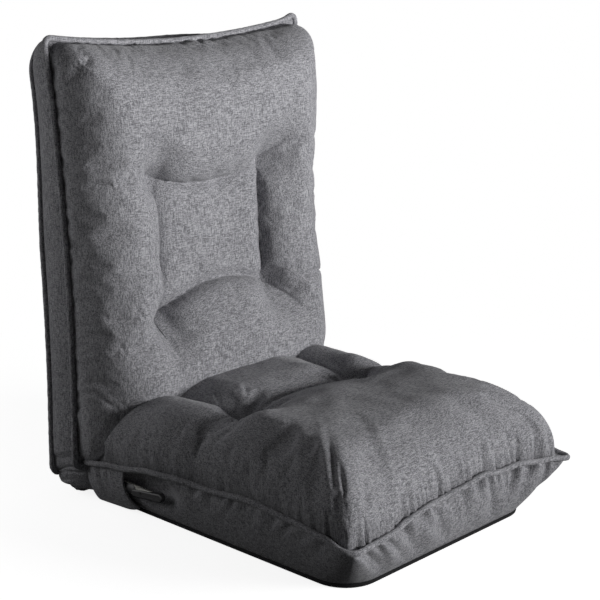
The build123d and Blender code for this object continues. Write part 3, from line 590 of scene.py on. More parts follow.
# %% Plan of the back cover
COLUMNS, BACK_ROWS = 241, 261
STEP = 0.0005
_, _, bx, bw, b_side, b_foot, b_top = cushion_grid(BACK_FORM, COLUMNS, BACK_ROWS)
b_height = np.clip(back_height(bx, bw, b_side, b_top, b_foot), 0, None)
b_lumps = 0.0024 * noise_2d(bx, bw, 0.075, 3) + 0.0010 * noise_2d(bx, bw, 0.028, 4)
b_height = b_height + b_lumps * swell(b_side, 0.08) * swell(b_top, 0.06) * swell(b_foot, 0.06)
b_outside = panel_distance(bx, bw)
b_over = 0.0105 * np.sin(math.pi * np.clip(b_outside / 0.045, 0, 1))
b_over_x = b_over * (panel_distance(bx + STEP, bw) - panel_distance(bx - STEP, bw)) / (2 * STEP)
b_over_w = b_over * (panel_distance(bx, bw + STEP) - panel_distance(bx, bw - STEP)) / (2 * STEP)
b_bulge = 0.011 * np.clip(bx / 0.27, 0, 1) ** 3 * np.sin(math.pi * np.clip(b_height / 0.10, 0, 0.85))
b_front = BACK_FRONT - np.clip(b_height, 0, None)
b_points = from_back_board(bx - b_over_x + b_bulge, b_front, bw - b_over_w)
print("back cushion stands", b_height.max().round(4), "m in front of its seam")

# %% Swell the back cover and gather it at its seams
b_hold = cover_hold(bx, bw, BACK_TUFTS)
b_hold = np.maximum(b_hold, 0.35 * np.clip(1 - np.abs(b_outside) / 0.010, 0, 1))
b_points = b_points + blown_up(b_points, b_hold)
b_up, b_down, b_in_left, b_in_right = walks(b_points)
b_folds = all_gathers(
    (bx, b_down, 21, -0.25, 0.12, 0.013, 0.042, 0.0026, 0.5),
    (bx, b_down, 22, -0.02, 0.09, 0.030, 0.095, 0.0058, 0.6),
    (bx, b_down, 23, 0.13, 0.27, 0.016, 0.042, 0.0026, 0.3),
    (bw, b_in_left, 24, 0.05, 0.70, 0.034, 0.040, 0.0024, 0.1),
    (bw, b_in_right, 25, 0.05, 0.70, 0.030, 0.045, 0.0024, -0.1),
    (bx, b_up, 26, -0.26, 0.26, 0.028, 0.050, 0.0024),
)
b_points = b_points + grid_normals(b_points) * b_folds[..., None]
back_cushion = pillow("back_cushion_cover", b_points, "back")
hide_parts("back_cushion", "back_foam")
tell(back_cushion)

# %% [markdown]
# ## Seat cushion
#
# The seat has a full-width front pillow and three pads behind it, held by two tufts. Its rear
# edge leans against the back, which presses it flat there. A collision in the simulation
# could press it too, but moving the points straight forward is quicker and always clears.

# %% Height of the seat cushion
SEAT_TUFT_X, SEAT_TUFT_Y = 0.135, 0.024
SEAT_TUFTS = ((-SEAT_TUFT_X, SEAT_TUFT_Y), (SEAT_TUFT_X, SEAT_TUFT_Y))
SEAT_TUFT_HEIGHT = 0.075
TUFT_DEPTH = 0.036
SEAT_CROWN = ((-0.33, 0.112), (-0.12, 0.118), (0.02, 0.117), (0.14, 0.115), (0.29, 0.112))


def seat_height(x, y, edge_side, edge_front, edge_rear):
    """Height of the seat cushion above its seam."""
    crown = eased(y, SEAT_CROWN)
    full = crown * np.minimum(dome(2.55, 5.2, (edge_side, 0.105), (edge_front, 0.114)),
                              dome(2.3, 14, (edge_side, 0.090), (edge_rear, 0.110)))
    fuller = 0.009 * np.exp(-((x - 0.20) / 0.085) ** 2) * np.clip((y + 0.20) / 0.15, 0, 1)
    full = full + fuller * swell(edge_side, 0.08) * swell(edge_rear, 0.10)
    tx, ty, deep = SEAT_TUFT_X, SEAT_TUFT_Y, TUFT_DEPTH
    reach = np.where(y < ty, 0.090, 0.070)
    valley = [(-tx, ty, deep), (-0.07, ty + 0.004, 0.024), (0, ty + 0.006, 0.021),
              (0.07, ty + 0.004, 0.025), (tx, ty, deep)]
    beside_right = [(tx, ty, deep), (tx + 0.05, ty + 0.004, 0.018), (tx + 0.11, ty + 0.004, 0.004)]
    beside_left = [(-tx, ty, deep), (-tx - 0.04, ty + 0.002, 0.014), (-tx - 0.08, ty + 0.004, 0.0)]
    creases = [crease(x, y, points, reach) for points in (valley, beside_right, beside_left)]
    for side in (-1, 1):
        channel = [(side * tx, ty, deep), (side * (tx + 0.002), 0.09, 0.026),
                   (side * (tx + 0.006), 0.17, 0.023), (side * (tx + 0.008), 0.30, 0.022)]
        creases.append(crease(x, y, channel, 0.064))
    height = full - strongest(*creases) * swell(edge_side, 0.06)
    return tufted(height, x, y, SEAT_TUFTS, SEAT_TUFT_HEIGHT, 0.028)


def into_back(points):
    """How far points reach into the front of the back cushion."""
    y, z = points[..., 1] - HINGE_Y, points[..., 2] - HINGE_Z
    v = y * np.cos(LEAN) - z * np.sin(LEAN)
    w = y * np.sin(LEAN) + z * np.cos(LEAN)
    x = points[..., 0]
    share = 2 * (w - BACK_FORM["low"]) / (BACK_FORM["high"] - BACK_FORM["low"]) - 1
    outer, _ = spread(np.ones_like(x), share, BACK_FORM)
    front = BACK_FRONT - back_height(x, w, np.clip(outer - np.abs(x), 0, None), BACK_FORM["high"] - w,
                                     np.clip(w - BACK_FORM["low"], 0, None))
    return v - front


print("the seat's tufts are", 2 * SEAT_TUFT_X, "m apart")

# %% Plan of the seat cover
SEAT_ROWS = 221
su, sv, sx, sy, s_side, s_front, s_rear = cushion_grid(SEAT_FORM, COLUMNS, SEAT_ROWS)
s_lift, s_bulge = seat_wander(su, sv)
s_height = np.clip(seat_height(sx, sy, s_side, s_front, s_rear), 0, None)
s_lumps = 0.0026 * noise_2d(sx, sy, 0.080, 8) + 0.0011 * noise_2d(sx, sy, 0.030, 9)
s_height = s_height + s_lumps * swell(s_side, 0.08) * swell(s_front, 0.08) * swell(s_rear, 0.06)
s_points = from_seat_board(sx + s_bulge, sy, s_height + s_lift)
print("seat cushion stands", s_height.max().round(4), "m above its seam")

# %% Swell the seat cover, gather it and lean it on the back
s_points = s_points + blown_up(s_points, cover_hold(sx, sy, SEAT_TUFTS))
s_in, _, s_in_left, s_in_right = walks(s_points)
s_folds = all_gathers(
    (sx, s_in, 31, -0.255, 0.26, 0.014, 0.060, 0.0046, 0.0),
    (sx, s_in, 32, -0.06, 0.12, 0.024, 0.095, 0.0046, 0.1),
    (sx, s_in, 33, -0.25, -0.12, 0.022, 0.085, 0.0055, 0.25),
    (sx, s_in, 34, 0.16, 0.27, 0.028, 0.080, 0.0060, -0.1),
    (sy, s_in_left, 35, -0.31, -0.17, 0.020, 0.055, 0.0040, 0.3),
    (sy, s_in_left, 36, -0.17, 0.26, 0.034, 0.050, 0.0024, 0.0),
    (sy, s_in_right, 37, -0.31, 0.26, 0.026, 0.055, 0.0030, 0.0),
)
s_points = s_points + grid_normals(s_points) * s_folds[..., None]
overlap = into_back(s_points)
s_points[..., 1] -= np.clip(overlap + 0.002, 0, None) * (s_points[..., 2] > HINGE_Z + 0.02)
seat_cushion = pillow("seat_cushion_cover", s_points, "seat")
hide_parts("seat_cushion", "seat_foam")
print("the back presses the seat in by", (overlap.max() * 1000).round(1), "mm at most")

# %% [markdown]
# ## Side bands
#
# A band of the same cloth runs round each part. On the seat it slopes in from the piped seam
# to the smaller base, hangs in slanting folds at the front and is pushed in behind the lever.
# On the back it is a plain padded wall whose foot hangs lower at the rear. An extruded outline
# would give a straight wall. Rings blended between two outlines can bulge and fold, while
# both seams stay exact.

# %% Band of the seat
BAND_ROWS, BAND_PER_SIDE = 25, 230
BAND_HEIGHT, SIDE_LENGTH = 0.085, 0.55
BASE_LIP = 0.009
HOLLOW_Y, HOLLOW_Z, HOLLOW_DEPTH = 0.138, 0.064, 0.024


def seat_band_rings():
    """Rings from the lip of the base up to the piped seam."""
    base_x, base_y = base_rim(BAND_PER_SIDE)
    high, out = seat_rim(BAND_PER_SIDE)
    low = np.stack([base_x, base_y, np.full_like(base_x, BASE_LIP)], axis=1)
    along = np.arange(len(high)) / BAND_PER_SIDE
    share = np.linspace(0, 1, BAND_ROWS)[:, None]
    points = low + (high - low) * share[..., None]
    down = (1 - share) * BAND_HEIGHT + 0 * along
    line = along * SIDE_LENGTH + 0 * share
    folds = all_gathers(
        (line, down, 41, 0.01, 0.55, 0.020, 0.060, 0.0050, 0.5),
        (line, down, 42, 0.02, 0.54, 0.045, 0.110, 0.0100, 0.7),
        (line, down, 43, 0.56, 1.62, 0.030, 0.050, 0.0030, 0.2),
        (line, down, 44, 1.66, 2.20, 0.026, 0.060, 0.0034, -0.3),
    )
    belly = np.sin(np.pi * share) ** 0.8
    reach = np.hypot((points[..., 1] - HOLLOW_Y) / 0.062, (points[..., 2] - HOLLOW_Z) / 0.029)
    hollow = np.exp(-reach ** 4) * (points[..., 0] < 0) * np.clip(5 * (1 - share), 0, 1)
    puff = 0.0012 + 0.007 * belly + folds * np.clip(share * 4, 0, 1) - HOLLOW_DEPTH * hollow
    points = points + out * puff[..., None]
    points[-1] -= out * 0.002
    return list(points)


seat_band = ring_band("seat_band_cover", seat_band_rings(), "seat")
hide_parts("seat_band")
tell(seat_band)

# %% Band of the back
BACK_HEEL = 0.024


def rear_taper(w):
    """Towards its top the rear edge of the back is drawn in by this share of its width."""
    return 0.056 * smooth(np.clip((w - 0.36) / 0.30, 0, 1))


def rear_drop(x, w):
    """The rear edge sags at the far end of its top."""
    return 0.014 * smooth(np.clip((x - 0.02) / 0.20, 0, 1)) * np.clip((w - 0.62) / 0.08, 0, 1)


def ear_rise(x, w):
    """The front seam rises to a small ear at the far end of the top."""
    return 0.006 * np.exp(-(np.hypot(x - BACK_FORM["high_half"], w - BACK_FORM["high"]) / 0.022) ** 2)


def heel(w):
    """At its foot the rear edge of the back hangs lower than the front seam."""
    return BACK_HEEL * np.clip(1 - (w - BACK_FORM["low"]) / 0.05, 0, 1)


print("the rear edge is drawn in by up to", rear_taper(BACK_FORM["high"]).round(3), "of its width")

# %% Outlines between the front and rear seams of the back
def back_outline(share, per_side):
    """The outline at a share of the way from the front seam to the rear one, with its directions."""
    corner = EAR + (BACK_REAR_CORNER - EAR) * share ** 1.5
    x, w = rim(BACK_FORM, EAR, corner, per_side)
    lift = ear_rise(x, w) * (1 - share) ** 2 - rear_drop(x, w) * share
    x, w = x * (1 - rear_taper(w) * share), w + lift
    out_x, out_w = outward(x, w)
    return share, x, w, out_x, out_w


def moved_out(outline, by):
    """An outline of the back moved outwards, with its heel, as points in the room."""
    share, x, w, out_x, out_w = outline
    v = BACK_FRONT + (BACK_REAR - BACK_FRONT) * share
    return from_back_board(x + out_x * by, v, w + out_w * by - heel(w) * share ** 0.8)


def back_band_rings(rows=17, per_side=160):
    """Rings from the front seam to the rear one."""
    rings = []
    for share in np.linspace(0, 1, rows):
        outline = back_outline(share, per_side)
        _, _, w, _, out_w = outline
        belly = math.sin(math.pi * share)
        puff = 0.007 * belly ** 0.6 * np.where(w < 0.05, 0.0, 1.0) * np.where(out_w > 0.5, 0.45, 1.0)
        along = np.arange(len(w)) * 0.004
        ripple = 0.0009 * noise_2d(along, share * 0.05, 0.028, 17) * belly
        rings.append(moved_out(outline, puff + ripple))
    return rings


back_band = ring_band("back_band_cover", back_band_rings(), "back")
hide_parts("back_band")
tell(back_band)

# %% [markdown]
# ## Piping
#
# A cord wrapped in the same cloth is sewn into each seam. It follows the drawn-in outline and
# stands a little outside the seam, which leaves a dark groove on both of its sides. A curve
# with a bevel would do as well, but a tube of points can be slightly uneven, as sewn cord is.

# %% Tubes along lines
def tube(name, line, radius, body, seed, sides=12, closed=True):
    """A slightly uneven tube along a line of points; an open one is closed by its end caps."""
    count = len(line)
    if closed:
        ahead = np.roll(line, -1, axis=0) - np.roll(line, 1, axis=0)
    else:
        ahead = np.gradient(line, axis=0)
    ahead /= np.linalg.norm(ahead, axis=1)[:, None]
    normal = np.linalg.svd(line - line.mean(axis=0), full_matrices=False)[2][2]
    side = np.cross(ahead, normal)
    side /= np.linalg.norm(side, axis=1)[:, None]
    up = np.cross(side, ahead)
    angle = 2 * math.pi * np.arange(sides) / sides
    walk = np.concatenate([[0], np.cumsum(np.linalg.norm(np.diff(line, axis=0), axis=1))])
    uneven = noise_2d(walk[:, None] + 0.004 * angle, 6 * angle / math.pi, 0.006, seed)
    size = radius * (1 + 0.07 * uneven)
    round_it = np.cos(angle)[:, None] * side[:, None] + np.sin(angle)[:, None] * up[:, None]
    points = line[:, None] + size[..., None] * round_it
    rows = count + 1 if closed else count
    faces = [[corner % (count * sides) for corner in face] for face in grid_faces(rows, sides, closed=True)]
    if not closed:
        faces += [range(sides), range((count - 1) * sides, count * sides)[::-1]]
    return new_piece(name, points, faces, body)


# %% Piping in the three seams
PIPING = 0.0050
PIPING_PROUD = 0.0030
PIPING_PER_SIDE = 170

seat_line, seat_out = seat_rim(PIPING_PER_SIDE)
seat_piping = tube("seat_piping_cord", seat_line + seat_out * PIPING_PROUD, PIPING, "seat", seed=5)
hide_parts("seat_piping")
front_line = moved_out(back_outline(0.0, PIPING_PER_SIDE), PIPING_PROUD)
front_piping = tube("back_front_piping_cord", front_line, PIPING, "back", seed=6)
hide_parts("back_piping_front")
rear_line = moved_out(back_outline(1.0, PIPING_PER_SIDE), PIPING_PROUD)
rear_piping = tube("back_rear_piping_cord", rear_line, PIPING, "back", seed=7)
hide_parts("back_piping_rear")
for place, line in (("seat", seat_line), ("front of the back", front_line), ("rear of the back", rear_line)):
    run = np.linalg.norm(line - np.roll(line, 1, axis=0), axis=1).sum()
    print("piping round the", place, "is", run.round(2), "m long")

# %% [markdown]
# ## Rear panel and hinge roll
#
# The rear face is a plain padded panel. Below it a padded roll wraps the hinge line, so the
# steel plates stay out of sight at every angle of the back. Its ends are drawn together and
# tucked in, as a bolster's are. A bevelled plate and a plain cylinder would be simpler, but
# they look hard, while a swelling grid and pleated rings look stuffed.

# %% Rear panel
PANEL_HEIGHT, PANEL_LIMIT = 0.0085, 0.0095


def rear_panel(columns=101, rows=131):
    """A flat pillow inside the rear seam, whose upper corners are round."""
    s, t = np.meshgrid(even(columns), even(rows))
    reach = 2 * BACK_REAR_CORNER / (BACK_FORM["low_half"] + BACK_FORM["high_half"])
    past_s = np.clip(np.abs(s) - (1 - reach), 0, None)
    past_t = np.clip(t - (1 - reach), 0, None)
    corner = np.hypot(past_s, past_t) / reach
    square = np.maximum(past_s, past_t) / reach
    pull = np.where(corner > 1e-6, np.maximum(square, 1e-6) / np.maximum(corner, 1e-6), 1)
    u = np.where(past_s > 0, np.sign(s) * (1 - reach + past_s * pull), s)
    v = np.where(past_t > 0, 1 - reach + past_t * pull, t)
    x, w = spread(u, v, BACK_FORM)
    x, w = x * (1 - rear_taper(w)), w - rear_drop(x, w)
    w = w - heel(w)
    edge = np.minimum.reduce(walks(from_back_board(x, 0, w)))
    height = PANEL_HEIGHT * swell(edge, 0.028) + 0.0006 * noise_2d(x, w, 0.06, 12) * swell(edge, 0.05)
    wrinkles = gathers(x, w, 51, -0.26, 0.26, 0.034, 0.050, 0.0010)
    height = np.minimum(height + wrinkles * swell(edge, 0.02), PANEL_LIMIT)
    return from_back_board(x, BACK_REAR + height, w)[:, ::-1]


panel = pillow("back_panel_cover", rear_panel(), "back")
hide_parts("back_panel")
tell(panel)

# %% Hinge roll
ROLL_RADIUS = 0.0345
ROLL_FLAT = 0.0268
ROLL_PLEATS = 17
ROLL_ENDS = ((0.2625, 0.10), (0.2622, 0.35), (0.2610, 0.58), (0.2585, 0.78), (0.2545, 0.90), (0.248, 0.97))


def roll_rings(sides=96):
    """Rings along the roll; each of its ends is (place, share of the full radius)."""
    places = [(-x, size) for x, size in ROLL_ENDS]
    places += [(x, 1.0) for x in np.linspace(-0.24, 0.24, 61)]
    places += [(x, size) for x, size in reversed(ROLL_ENDS)]
    turn = np.linspace(0, 2 * math.pi, sides, endpoint=False)
    rings = []
    for x, size in places:
        tucked = np.clip((abs(x) - 0.235) / 0.035, 0, 1)
        pleat = 0.0016 * tucked * np.cos(ROLL_PLEATS * turn + 0.6 * np.sin(3 * turn))
        sag = 0.0008 * noise_2d(np.full_like(turn, x), turn * 0.03, 0.035, 14)
        radius = ROLL_RADIUS * size - 0.0008 + pleat * size + sag * (size == 1.0)
        w = np.minimum(radius * np.sin(turn), ROLL_FLAT)
        rings.append(from_back_board(np.full_like(turn, x), radius * np.cos(turn), w))
    return rings


roll = ring_band("hinge_roll_cover", roll_rings(), "back")
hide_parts("hinge_roll")
tell(roll)

# %% [markdown]
# ## Base and lever flap
#
# The underside is a black cloth with a turned-up edge, and a felt pad lies in it under the
# steel frame. At the rear right a flap of the cover hangs over the lever. Its front edge is
# bound with a narrow hem, and the lever's grip comes out from under it. Each cloth could be
# built as a closed slab, but one layer with a Solidify modifier keeps an even thickness.

# %% Black base cloth and felt pad
BASE_PER_SIDE = 60
TRAY_PROFILE = ((0.0008, -0.004), (0.0004, -0.0015), (0.0012, -0.0004),
                (0.003, 0.0), (0.011, 0.0), (0.0136, -0.0006))
FELT_PROFILE = ((0.0026, -0.005), (0.0026, -0.0035), (0.004, -0.0028),
                (0.0125, -0.0028), (0.0140, -0.0036), (0.0141, -0.006))


def thicken(piece, thickness, offset):
    """Give a single layer of cloth its thickness: to both sides with offset 0, to one with -1."""
    shell = piece.modifiers.new("cloth thickness", "SOLIDIFY")
    shell.thickness = thickness
    shell.offset = offset


def base_rings(profile, ripple=0.0):
    """Rings round the base; each row of the profile is (height, how far it stands out)."""
    rings = []
    for z, puff in profile:
        x, y = base_rim(BASE_PER_SIDE, puff)
        y = y + ripple * noise_2d(x * 3, y * 3, 0.02, 15)
        rings.append(np.stack([x, y, np.full_like(x, z)], axis=1))
    return rings


base = ring_band("base_cloth_cover", base_rings(TRAY_PROFILE), "seat", lid=False)
thicken(base, 0.0016, -1)
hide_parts("base_cloth")
felt = ring_band("felt_pad_slab", base_rings(FELT_PROFILE, 0.0003), "seat")
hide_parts("felt_pad")
tell(base)
tell(felt)

# %% Flap over the lever, with its bound hem
FLAP_REAR, FLAP_FOOT = 0.284, 0.006
FLAP_ROWS, FLAP_COLUMNS = 41, 61
FLAP_TAIL = 0.262
HEM_RADIUS = 0.0022


def flap_line(y, share):
    """Points of the flap: share runs from its foot at 0 to the seam at 1."""
    v = 2 * (y - SEAT_FORM["low"]) / (SEAT_FORM["high"] - SEAT_FORM["low"]) - 1
    u = -np.ones_like(y)
    edge, _ = spread(u, v, SEAT_FORM)
    lift, bulge = seat_wander(u, v)
    top_x, top_z = edge + bulge, SEAM_HEIGHT - y * math.tan(SEAM_SLOPE) + lift - 0.003
    foot_x = -0.246 - 0.006 * np.clip((y - 0.20) / 0.08, 0, 1)
    x = foot_x + (top_x - foot_x) * share - 0.0075 * np.sin(math.pi * share) ** 0.8
    tail = np.clip((y - FLAP_TAIL) / (FLAP_REAR - FLAP_TAIL), 0, 1)
    x = x + 0.006 * tail ** 2
    foot_z = FLAP_FOOT + 0.010 * tail ** 2 + 0.008 * np.clip((0.205 - y) / 0.035, 0, 1) ** 2
    return np.stack([x, y, foot_z + (top_z - foot_z) * share], axis=-1)


def hem_place(share):
    """The hem bows to the rear between the foot and the seam."""
    return 0.170 + 0.018 * share + 0.008 * np.sin(math.pi * share)


f_share = np.linspace(0, 1, FLAP_ROWS)[:, None] + np.zeros(FLAP_COLUMNS)
f_across = np.linspace(0, 1, FLAP_COLUMNS) + np.zeros((FLAP_ROWS, 1))
f_y = hem_place(f_share) + (FLAP_REAR - hem_place(f_share)) * f_across
f_points = flap_line(f_y, f_share)
f_down = (1 - f_share) * 0.08
f_folds = all_gathers(
    (-f_y, f_down, 61, -0.28, -0.20, 0.018, 0.060, 0.0030, 0.3),
    (-f_y, f_down, 62, -0.21, -0.17, 0.022, 0.035, 0.0014, 0.0),
)
f_points[..., 0] -= f_folds * np.clip(4 * f_across, 0, 1)
flap = new_piece("lever_flap_cover", f_points, grid_faces(FLAP_ROWS, FLAP_COLUMNS), "seat")
thicken(flap, 0.0018, 0)
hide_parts("lever_flap")
hem_share = np.linspace(0.0, 0.98, 40)
hem_line = flap_line(hem_place(hem_share), hem_share)
hem = tube("lever_flap_hem", hem_line, HEM_RADIUS, "seat", seed=9, sides=10, closed=False)
print("flap is", (FLAP_REAR - hem_place(0.0)).round(3), "m long at its foot")

# %% Sleeve behind the grip of the lever
SLEEVE_X, SLEEVE_Z = -0.2555, 0.0508
SLEEVE_HALF_X, SLEEVE_HALF_Z = 0.0046, 0.0088
SLEEVE_SIZES = ((0.1665, 0.80), (0.168, 0.93), (0.171, 1.0), (0.19, 0.98), (0.205, 0.94), (0.2065, 0.86))

sleeve_turn = np.linspace(0, 2 * math.pi, 28, endpoint=False)
sleeve_rings = [np.stack([SLEEVE_X + SLEEVE_HALF_X * size * np.cos(sleeve_turn), np.full(28, sleeve_y),
                          SLEEVE_Z + SLEEVE_HALF_Z * size * np.sin(sleeve_turn)], axis=1)
                for sleeve_y, size in SLEEVE_SIZES]
sleeve = ring_band("grip_sleeve", sleeve_rings, "release")
tell(sleeve)

# %% [markdown]
# ## Gussets at the hinges
#
# Where the seat meets the foot of the back, a gathered strip of the cover closes the side over
# the end of the hinge roll. Its front edge is sewn to the seat and its upper edge into the
# foot of the back: the strip is blended between an edge on each, as they stand at rest.
# It rides on no body of the frame, so it stays where it is when the back reclines.

# %% Gathered strips between the seat and the back
BACK_EDGE = ((0.342, 0.0175), (0.3520, 0.030), (0.3525, 0.0440),
             (0.336, 0.0600), (0.316, 0.0685), (0.2985, 0.0700))
GUSSET_ROWS, GUSSET_COLUMNS = 49, 41
GUSSET_X, GUSSET_THICKNESS = 0.271, 0.0014


def gusset(name, side, seat_edge, bow):
    """A thin strip from an edge on the seat to the foot of the back; a lower bow swings it out sooner."""
    rows, columns = GUSSET_ROWS, GUSSET_COLUMNS
    t = np.linspace(0, 1, rows)
    back_y, back_z = (np.interp(t, np.linspace(0, 1, len(BACK_EDGE)), column) for column in zip(*BACK_EDGE))
    back_edge = np.stack([np.full(rows, -GUSSET_X), back_y, back_z], axis=-1)
    s = np.linspace(0, 1, columns)[None, :, None]
    points = seat_edge[:, None] * (1 - s) + back_edge[:, None] * s
    points[..., 0] = seat_edge[:, None, 0] * (1 - s[..., 0] ** bow) + back_edge[:, None, 0] * s[..., 0] ** bow
    s, t = s[..., 0] + 0 * t[:, None], t[:, None] + 0 * s[..., 0]
    folds = all_gathers(
        (0.09 * t + 0.02 * s, 0.07 * (1 - s), 72, 0.0, 0.10, 0.013, 0.085, 0.0034, 0.2),
        (0.07 * s, 0.08 * (1 - t), 73, 0.0, 0.08, 0.016, 0.050, 0.0020, 0.3),
    )
    belly = 0.0085 * np.sin(math.pi * s) ** 0.8 * np.sin(math.pi * np.clip(t, 0.02, 1)) ** 0.5
    curl = 0.010 * np.clip(1 - t / 0.10, 0, 1) ** 2
    points[..., 0] += -belly + curl - folds * np.sin(math.pi * s) ** 0.5 * np.clip(t / 0.1, 0, 1)
    inner = points + (GUSSET_THICKNESS, 0, 0)
    if side > 0:
        points, inner = inner * (-1, 1, 1), points * (-1, 1, 1)
    count = rows * columns
    faces = [face[::-1] for face in grid_faces(rows, columns)]
    faces += [[corner + count for corner in face] for face in grid_faces(rows, columns)]
    border = grid_rim(rows, columns)
    faces += [(this, after, after + count, this + count)
              for this, after in zip(border, border[1:] + border[:1])]
    strip = new_piece(name, np.concatenate([points.reshape(-1, 3), inner.reshape(-1, 3)]), faces, None)
    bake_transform(strip)
    return strip


lever_edge = flap_line(np.full(GUSSET_ROWS, 0.279), np.linspace(0.06, 0.90, GUSSET_ROWS)) + (0.0016, 0, 0)
far_edge = np.linspace((-0.213, 0.268, 0.013), (-0.261, 0.268, 0.073), GUSSET_ROWS)
lever_corner = gusset("lever_side_gusset", -1, lever_edge, 0.8)
far_corner = gusset("far_side_gusset", 1, far_edge, 0.4)
tell(lever_corner)
tell(far_corner)

# %% [markdown]
# ## Finishes
#
# Shader maths is easier to read as arithmetic. The small class Wire wraps one output of a
# shader node, so that adding or multiplying two of them adds the Math nodes for it. The nodes
# could be placed by hand in the editor, but written out they are changed in one place.

# %% Shader arithmetic
class Wire:
    """One output of a shader node."""

    def __init__(self, nodes, socket):
        self.nodes = nodes
        self.socket = socket

    def maths(self, operation, first, second):
        return self.nodes.node("ShaderNodeMath", {"operation": operation}, {0: first, 1: second})

    def __add__(self, other):
        return self.maths("ADD", self, other)

    def __radd__(self, other):
        return self.maths("ADD", other, self)

    def __sub__(self, other):
        return self.maths("SUBTRACT", self, other)

    def __rsub__(self, other):
        return self.maths("SUBTRACT", other, self)

    def __mul__(self, other):
        return self.maths("MULTIPLY", self, other)

    def __rmul__(self, other):
        return self.maths("MULTIPLY", other, self)


print("a wire knows", [name for name in ("__add__", "__sub__", "__mul__") if hasattr(Wire, name)])

# %% A node tree that grows one node at a time
class Nodes:
    """A node tree whose nodes are added one by one."""

    def __init__(self, owner):
        owner.use_nodes = True
        self.tree = owner.node_tree
        self.tree.nodes.clear()

    def plug(self, node, sockets):
        """Give sockets of a node values or wires."""
        for key, value in sockets.items():
            if isinstance(value, Wire):
                self.tree.links.new(value.socket, node.inputs[key])
            else:
                node.inputs[key].default_value = value

    def add(self, kind, settings, sockets):
        """One node: its settings first, then the values or wires of its sockets."""
        made = self.tree.nodes.new(kind)
        for key, value in settings.items():
            setattr(made, key, value)
        self.plug(made, sockets)
        return made

    def node(self, kind, settings, sockets, output=0):
        """The same, giving the wire that leaves the node."""
        return Wire(self, self.add(kind, settings, sockets).outputs[output])

    def seen(self, mirrored=1.0):
        """1 for what the camera sees; in reflections and through glass it is the share mirrored."""
        rays = self.node("ShaderNodeLightPath", {}, {}, output="Is Camera Ray")
        for kind in ("Is Glossy Ray", "Is Transmission Ray"):
            others = self.node("ShaderNodeLightPath", {}, {}, output=kind)
            rays = rays.maths("MAXIMUM", rays, mirrored * others)
        return rays


print("a tree can", [name for name in vars(Nodes) if not name.startswith("_")])

# %% A material with its usual parts
class Finish(Nodes):
    """A material with one Principled shader."""

    def __init__(self, name, **constants):
        self.material = bpy.data.materials.new(name)
        super().__init__(self.material)
        self.shader = self.add("ShaderNodeBsdfPrincipled", {}, {})
        self.add("ShaderNodeOutputMaterial", {}, {"Surface": Wire(self, self.shader.outputs[0])})
        self.feed(**constants)

    def feed(self, **sockets):
        """Give the shader's sockets values or wires; an underscore stands for a space."""
        self.plug(self.shader, {name.replace("_", " "): value for name, value in sockets.items()})

    def grain(self, scale, detail=2.0, roughness=0.5):
        """Noise stretched along the axes of the piece, from 0 to 1."""
        coordinates = self.node("ShaderNodeTexCoord", {}, {}, output="Object")
        place = self.node("ShaderNodeMapping", {}, {"Vector": coordinates, "Scale": scale})
        return self.node("ShaderNodeTexNoise", {}, {"Vector": place, "Scale": 1.0, "Detail": detail,
                                                    "Roughness": roughness})

    def blend(self, share, first, second):
        """A colour between two colours; each is a wire or three shares of light."""
        first, second = (tone if isinstance(tone, Wire) else (*tone, 1) for tone in (first, second))
        return self.node("ShaderNodeMix", {"data_type": "RGBA"}, {0: share, 6: first, 7: second}, output=2)

    def coat(self, share, dark, light, height, strength, distance, **others):
        """Feed a colour between two tones, a bump from a height and any others; gives the material."""
        bump = self.node("ShaderNodeBump", {}, {"Height": height, "Strength": strength, "Distance": distance})
        self.feed(Base_Color=self.blend(share, dark, light), Normal=bump, **others)
        return self.material


print("finishes are built from", Wire.__name__, "and", Finish.__name__)

# %% [markdown]
# ## Heathered linen
#
# The cover is a linen-look weave: light and dark grey threads with thick places in them. Noise
# stretched along each of the three axes gives threads that run both ways on every face. An
# image of the weave would need every piece unfolded flat, and it would repeat in view.

# %% Linen and its piping
DARK_THREAD = (0.135, 0.135, 0.147)
LIGHT_THREAD = (0.520, 0.517, 0.545)


def linen(name):
    cloth = Finish(name, Roughness=0.95, Sheen_Weight=0.12, Sheen_Roughness=0.5, Specular_IOR_Level=0.15)
    along_x = cloth.grain((130, 1100, 1100), 1.0)
    along_y = cloth.grain((1100, 130, 1100), 1.0)
    along_z = cloth.grain((1100, 1100, 130), 1.0)
    threads = (along_x + along_y + along_z) * (1 / 3)
    slubs = cloth.grain((70, 620, 620), 0.0) + cloth.grain((620, 620, 70), 0.0)
    broad = cloth.grain((14, 14, 14))
    level = (threads - 0.5) * 5.0 + (slubs - 1.0) * 0.75 + (broad - 0.5) * 0.25 + 0.42
    return cloth.coat(level, DARK_THREAD, LIGHT_THREAD, threads, 0.5, 0.0010)


linen_cover = linen("linen_weave")
linen_piping = linen("linen_piping_weave")
print("threads of the linen are between", DARK_THREAD[0], "and", LIGHT_THREAD[0], "bright")

# %% [markdown]
# ## Black base cloth, felt, paint, zinc and plastic
#
# The pieces that hardly show still get their own finish, because someone may open the model
# from below or without its cover. Plain colours would do from afar; a little noise in colour
# and bump shows what each piece is made of.

# %% Finishes of the base and the hinge metal
def black_cloth():
    cloth = Finish("black_base_weave", Roughness=0.9, Specular_IOR_Level=0.2)
    fibres = cloth.grain((500, 500, 500), 3.0)
    return cloth.coat(fibres, (0.008, 0.008, 0.009), (0.026, 0.026, 0.028), fibres, 0.4, 0.0008)


def felt_finish():
    wool = Finish("needled_felt", Roughness=1.0, Specular_IOR_Level=0.1)
    fibres = wool.grain((340, 340, 700), 4.0, 0.7)
    flecks = wool.grain((90, 90, 90))
    share = fibres * 0.7 + flecks * 0.3
    return wool.coat(share, (0.33, 0.32, 0.30), (0.58, 0.57, 0.54), fibres, 0.6, 0.001)


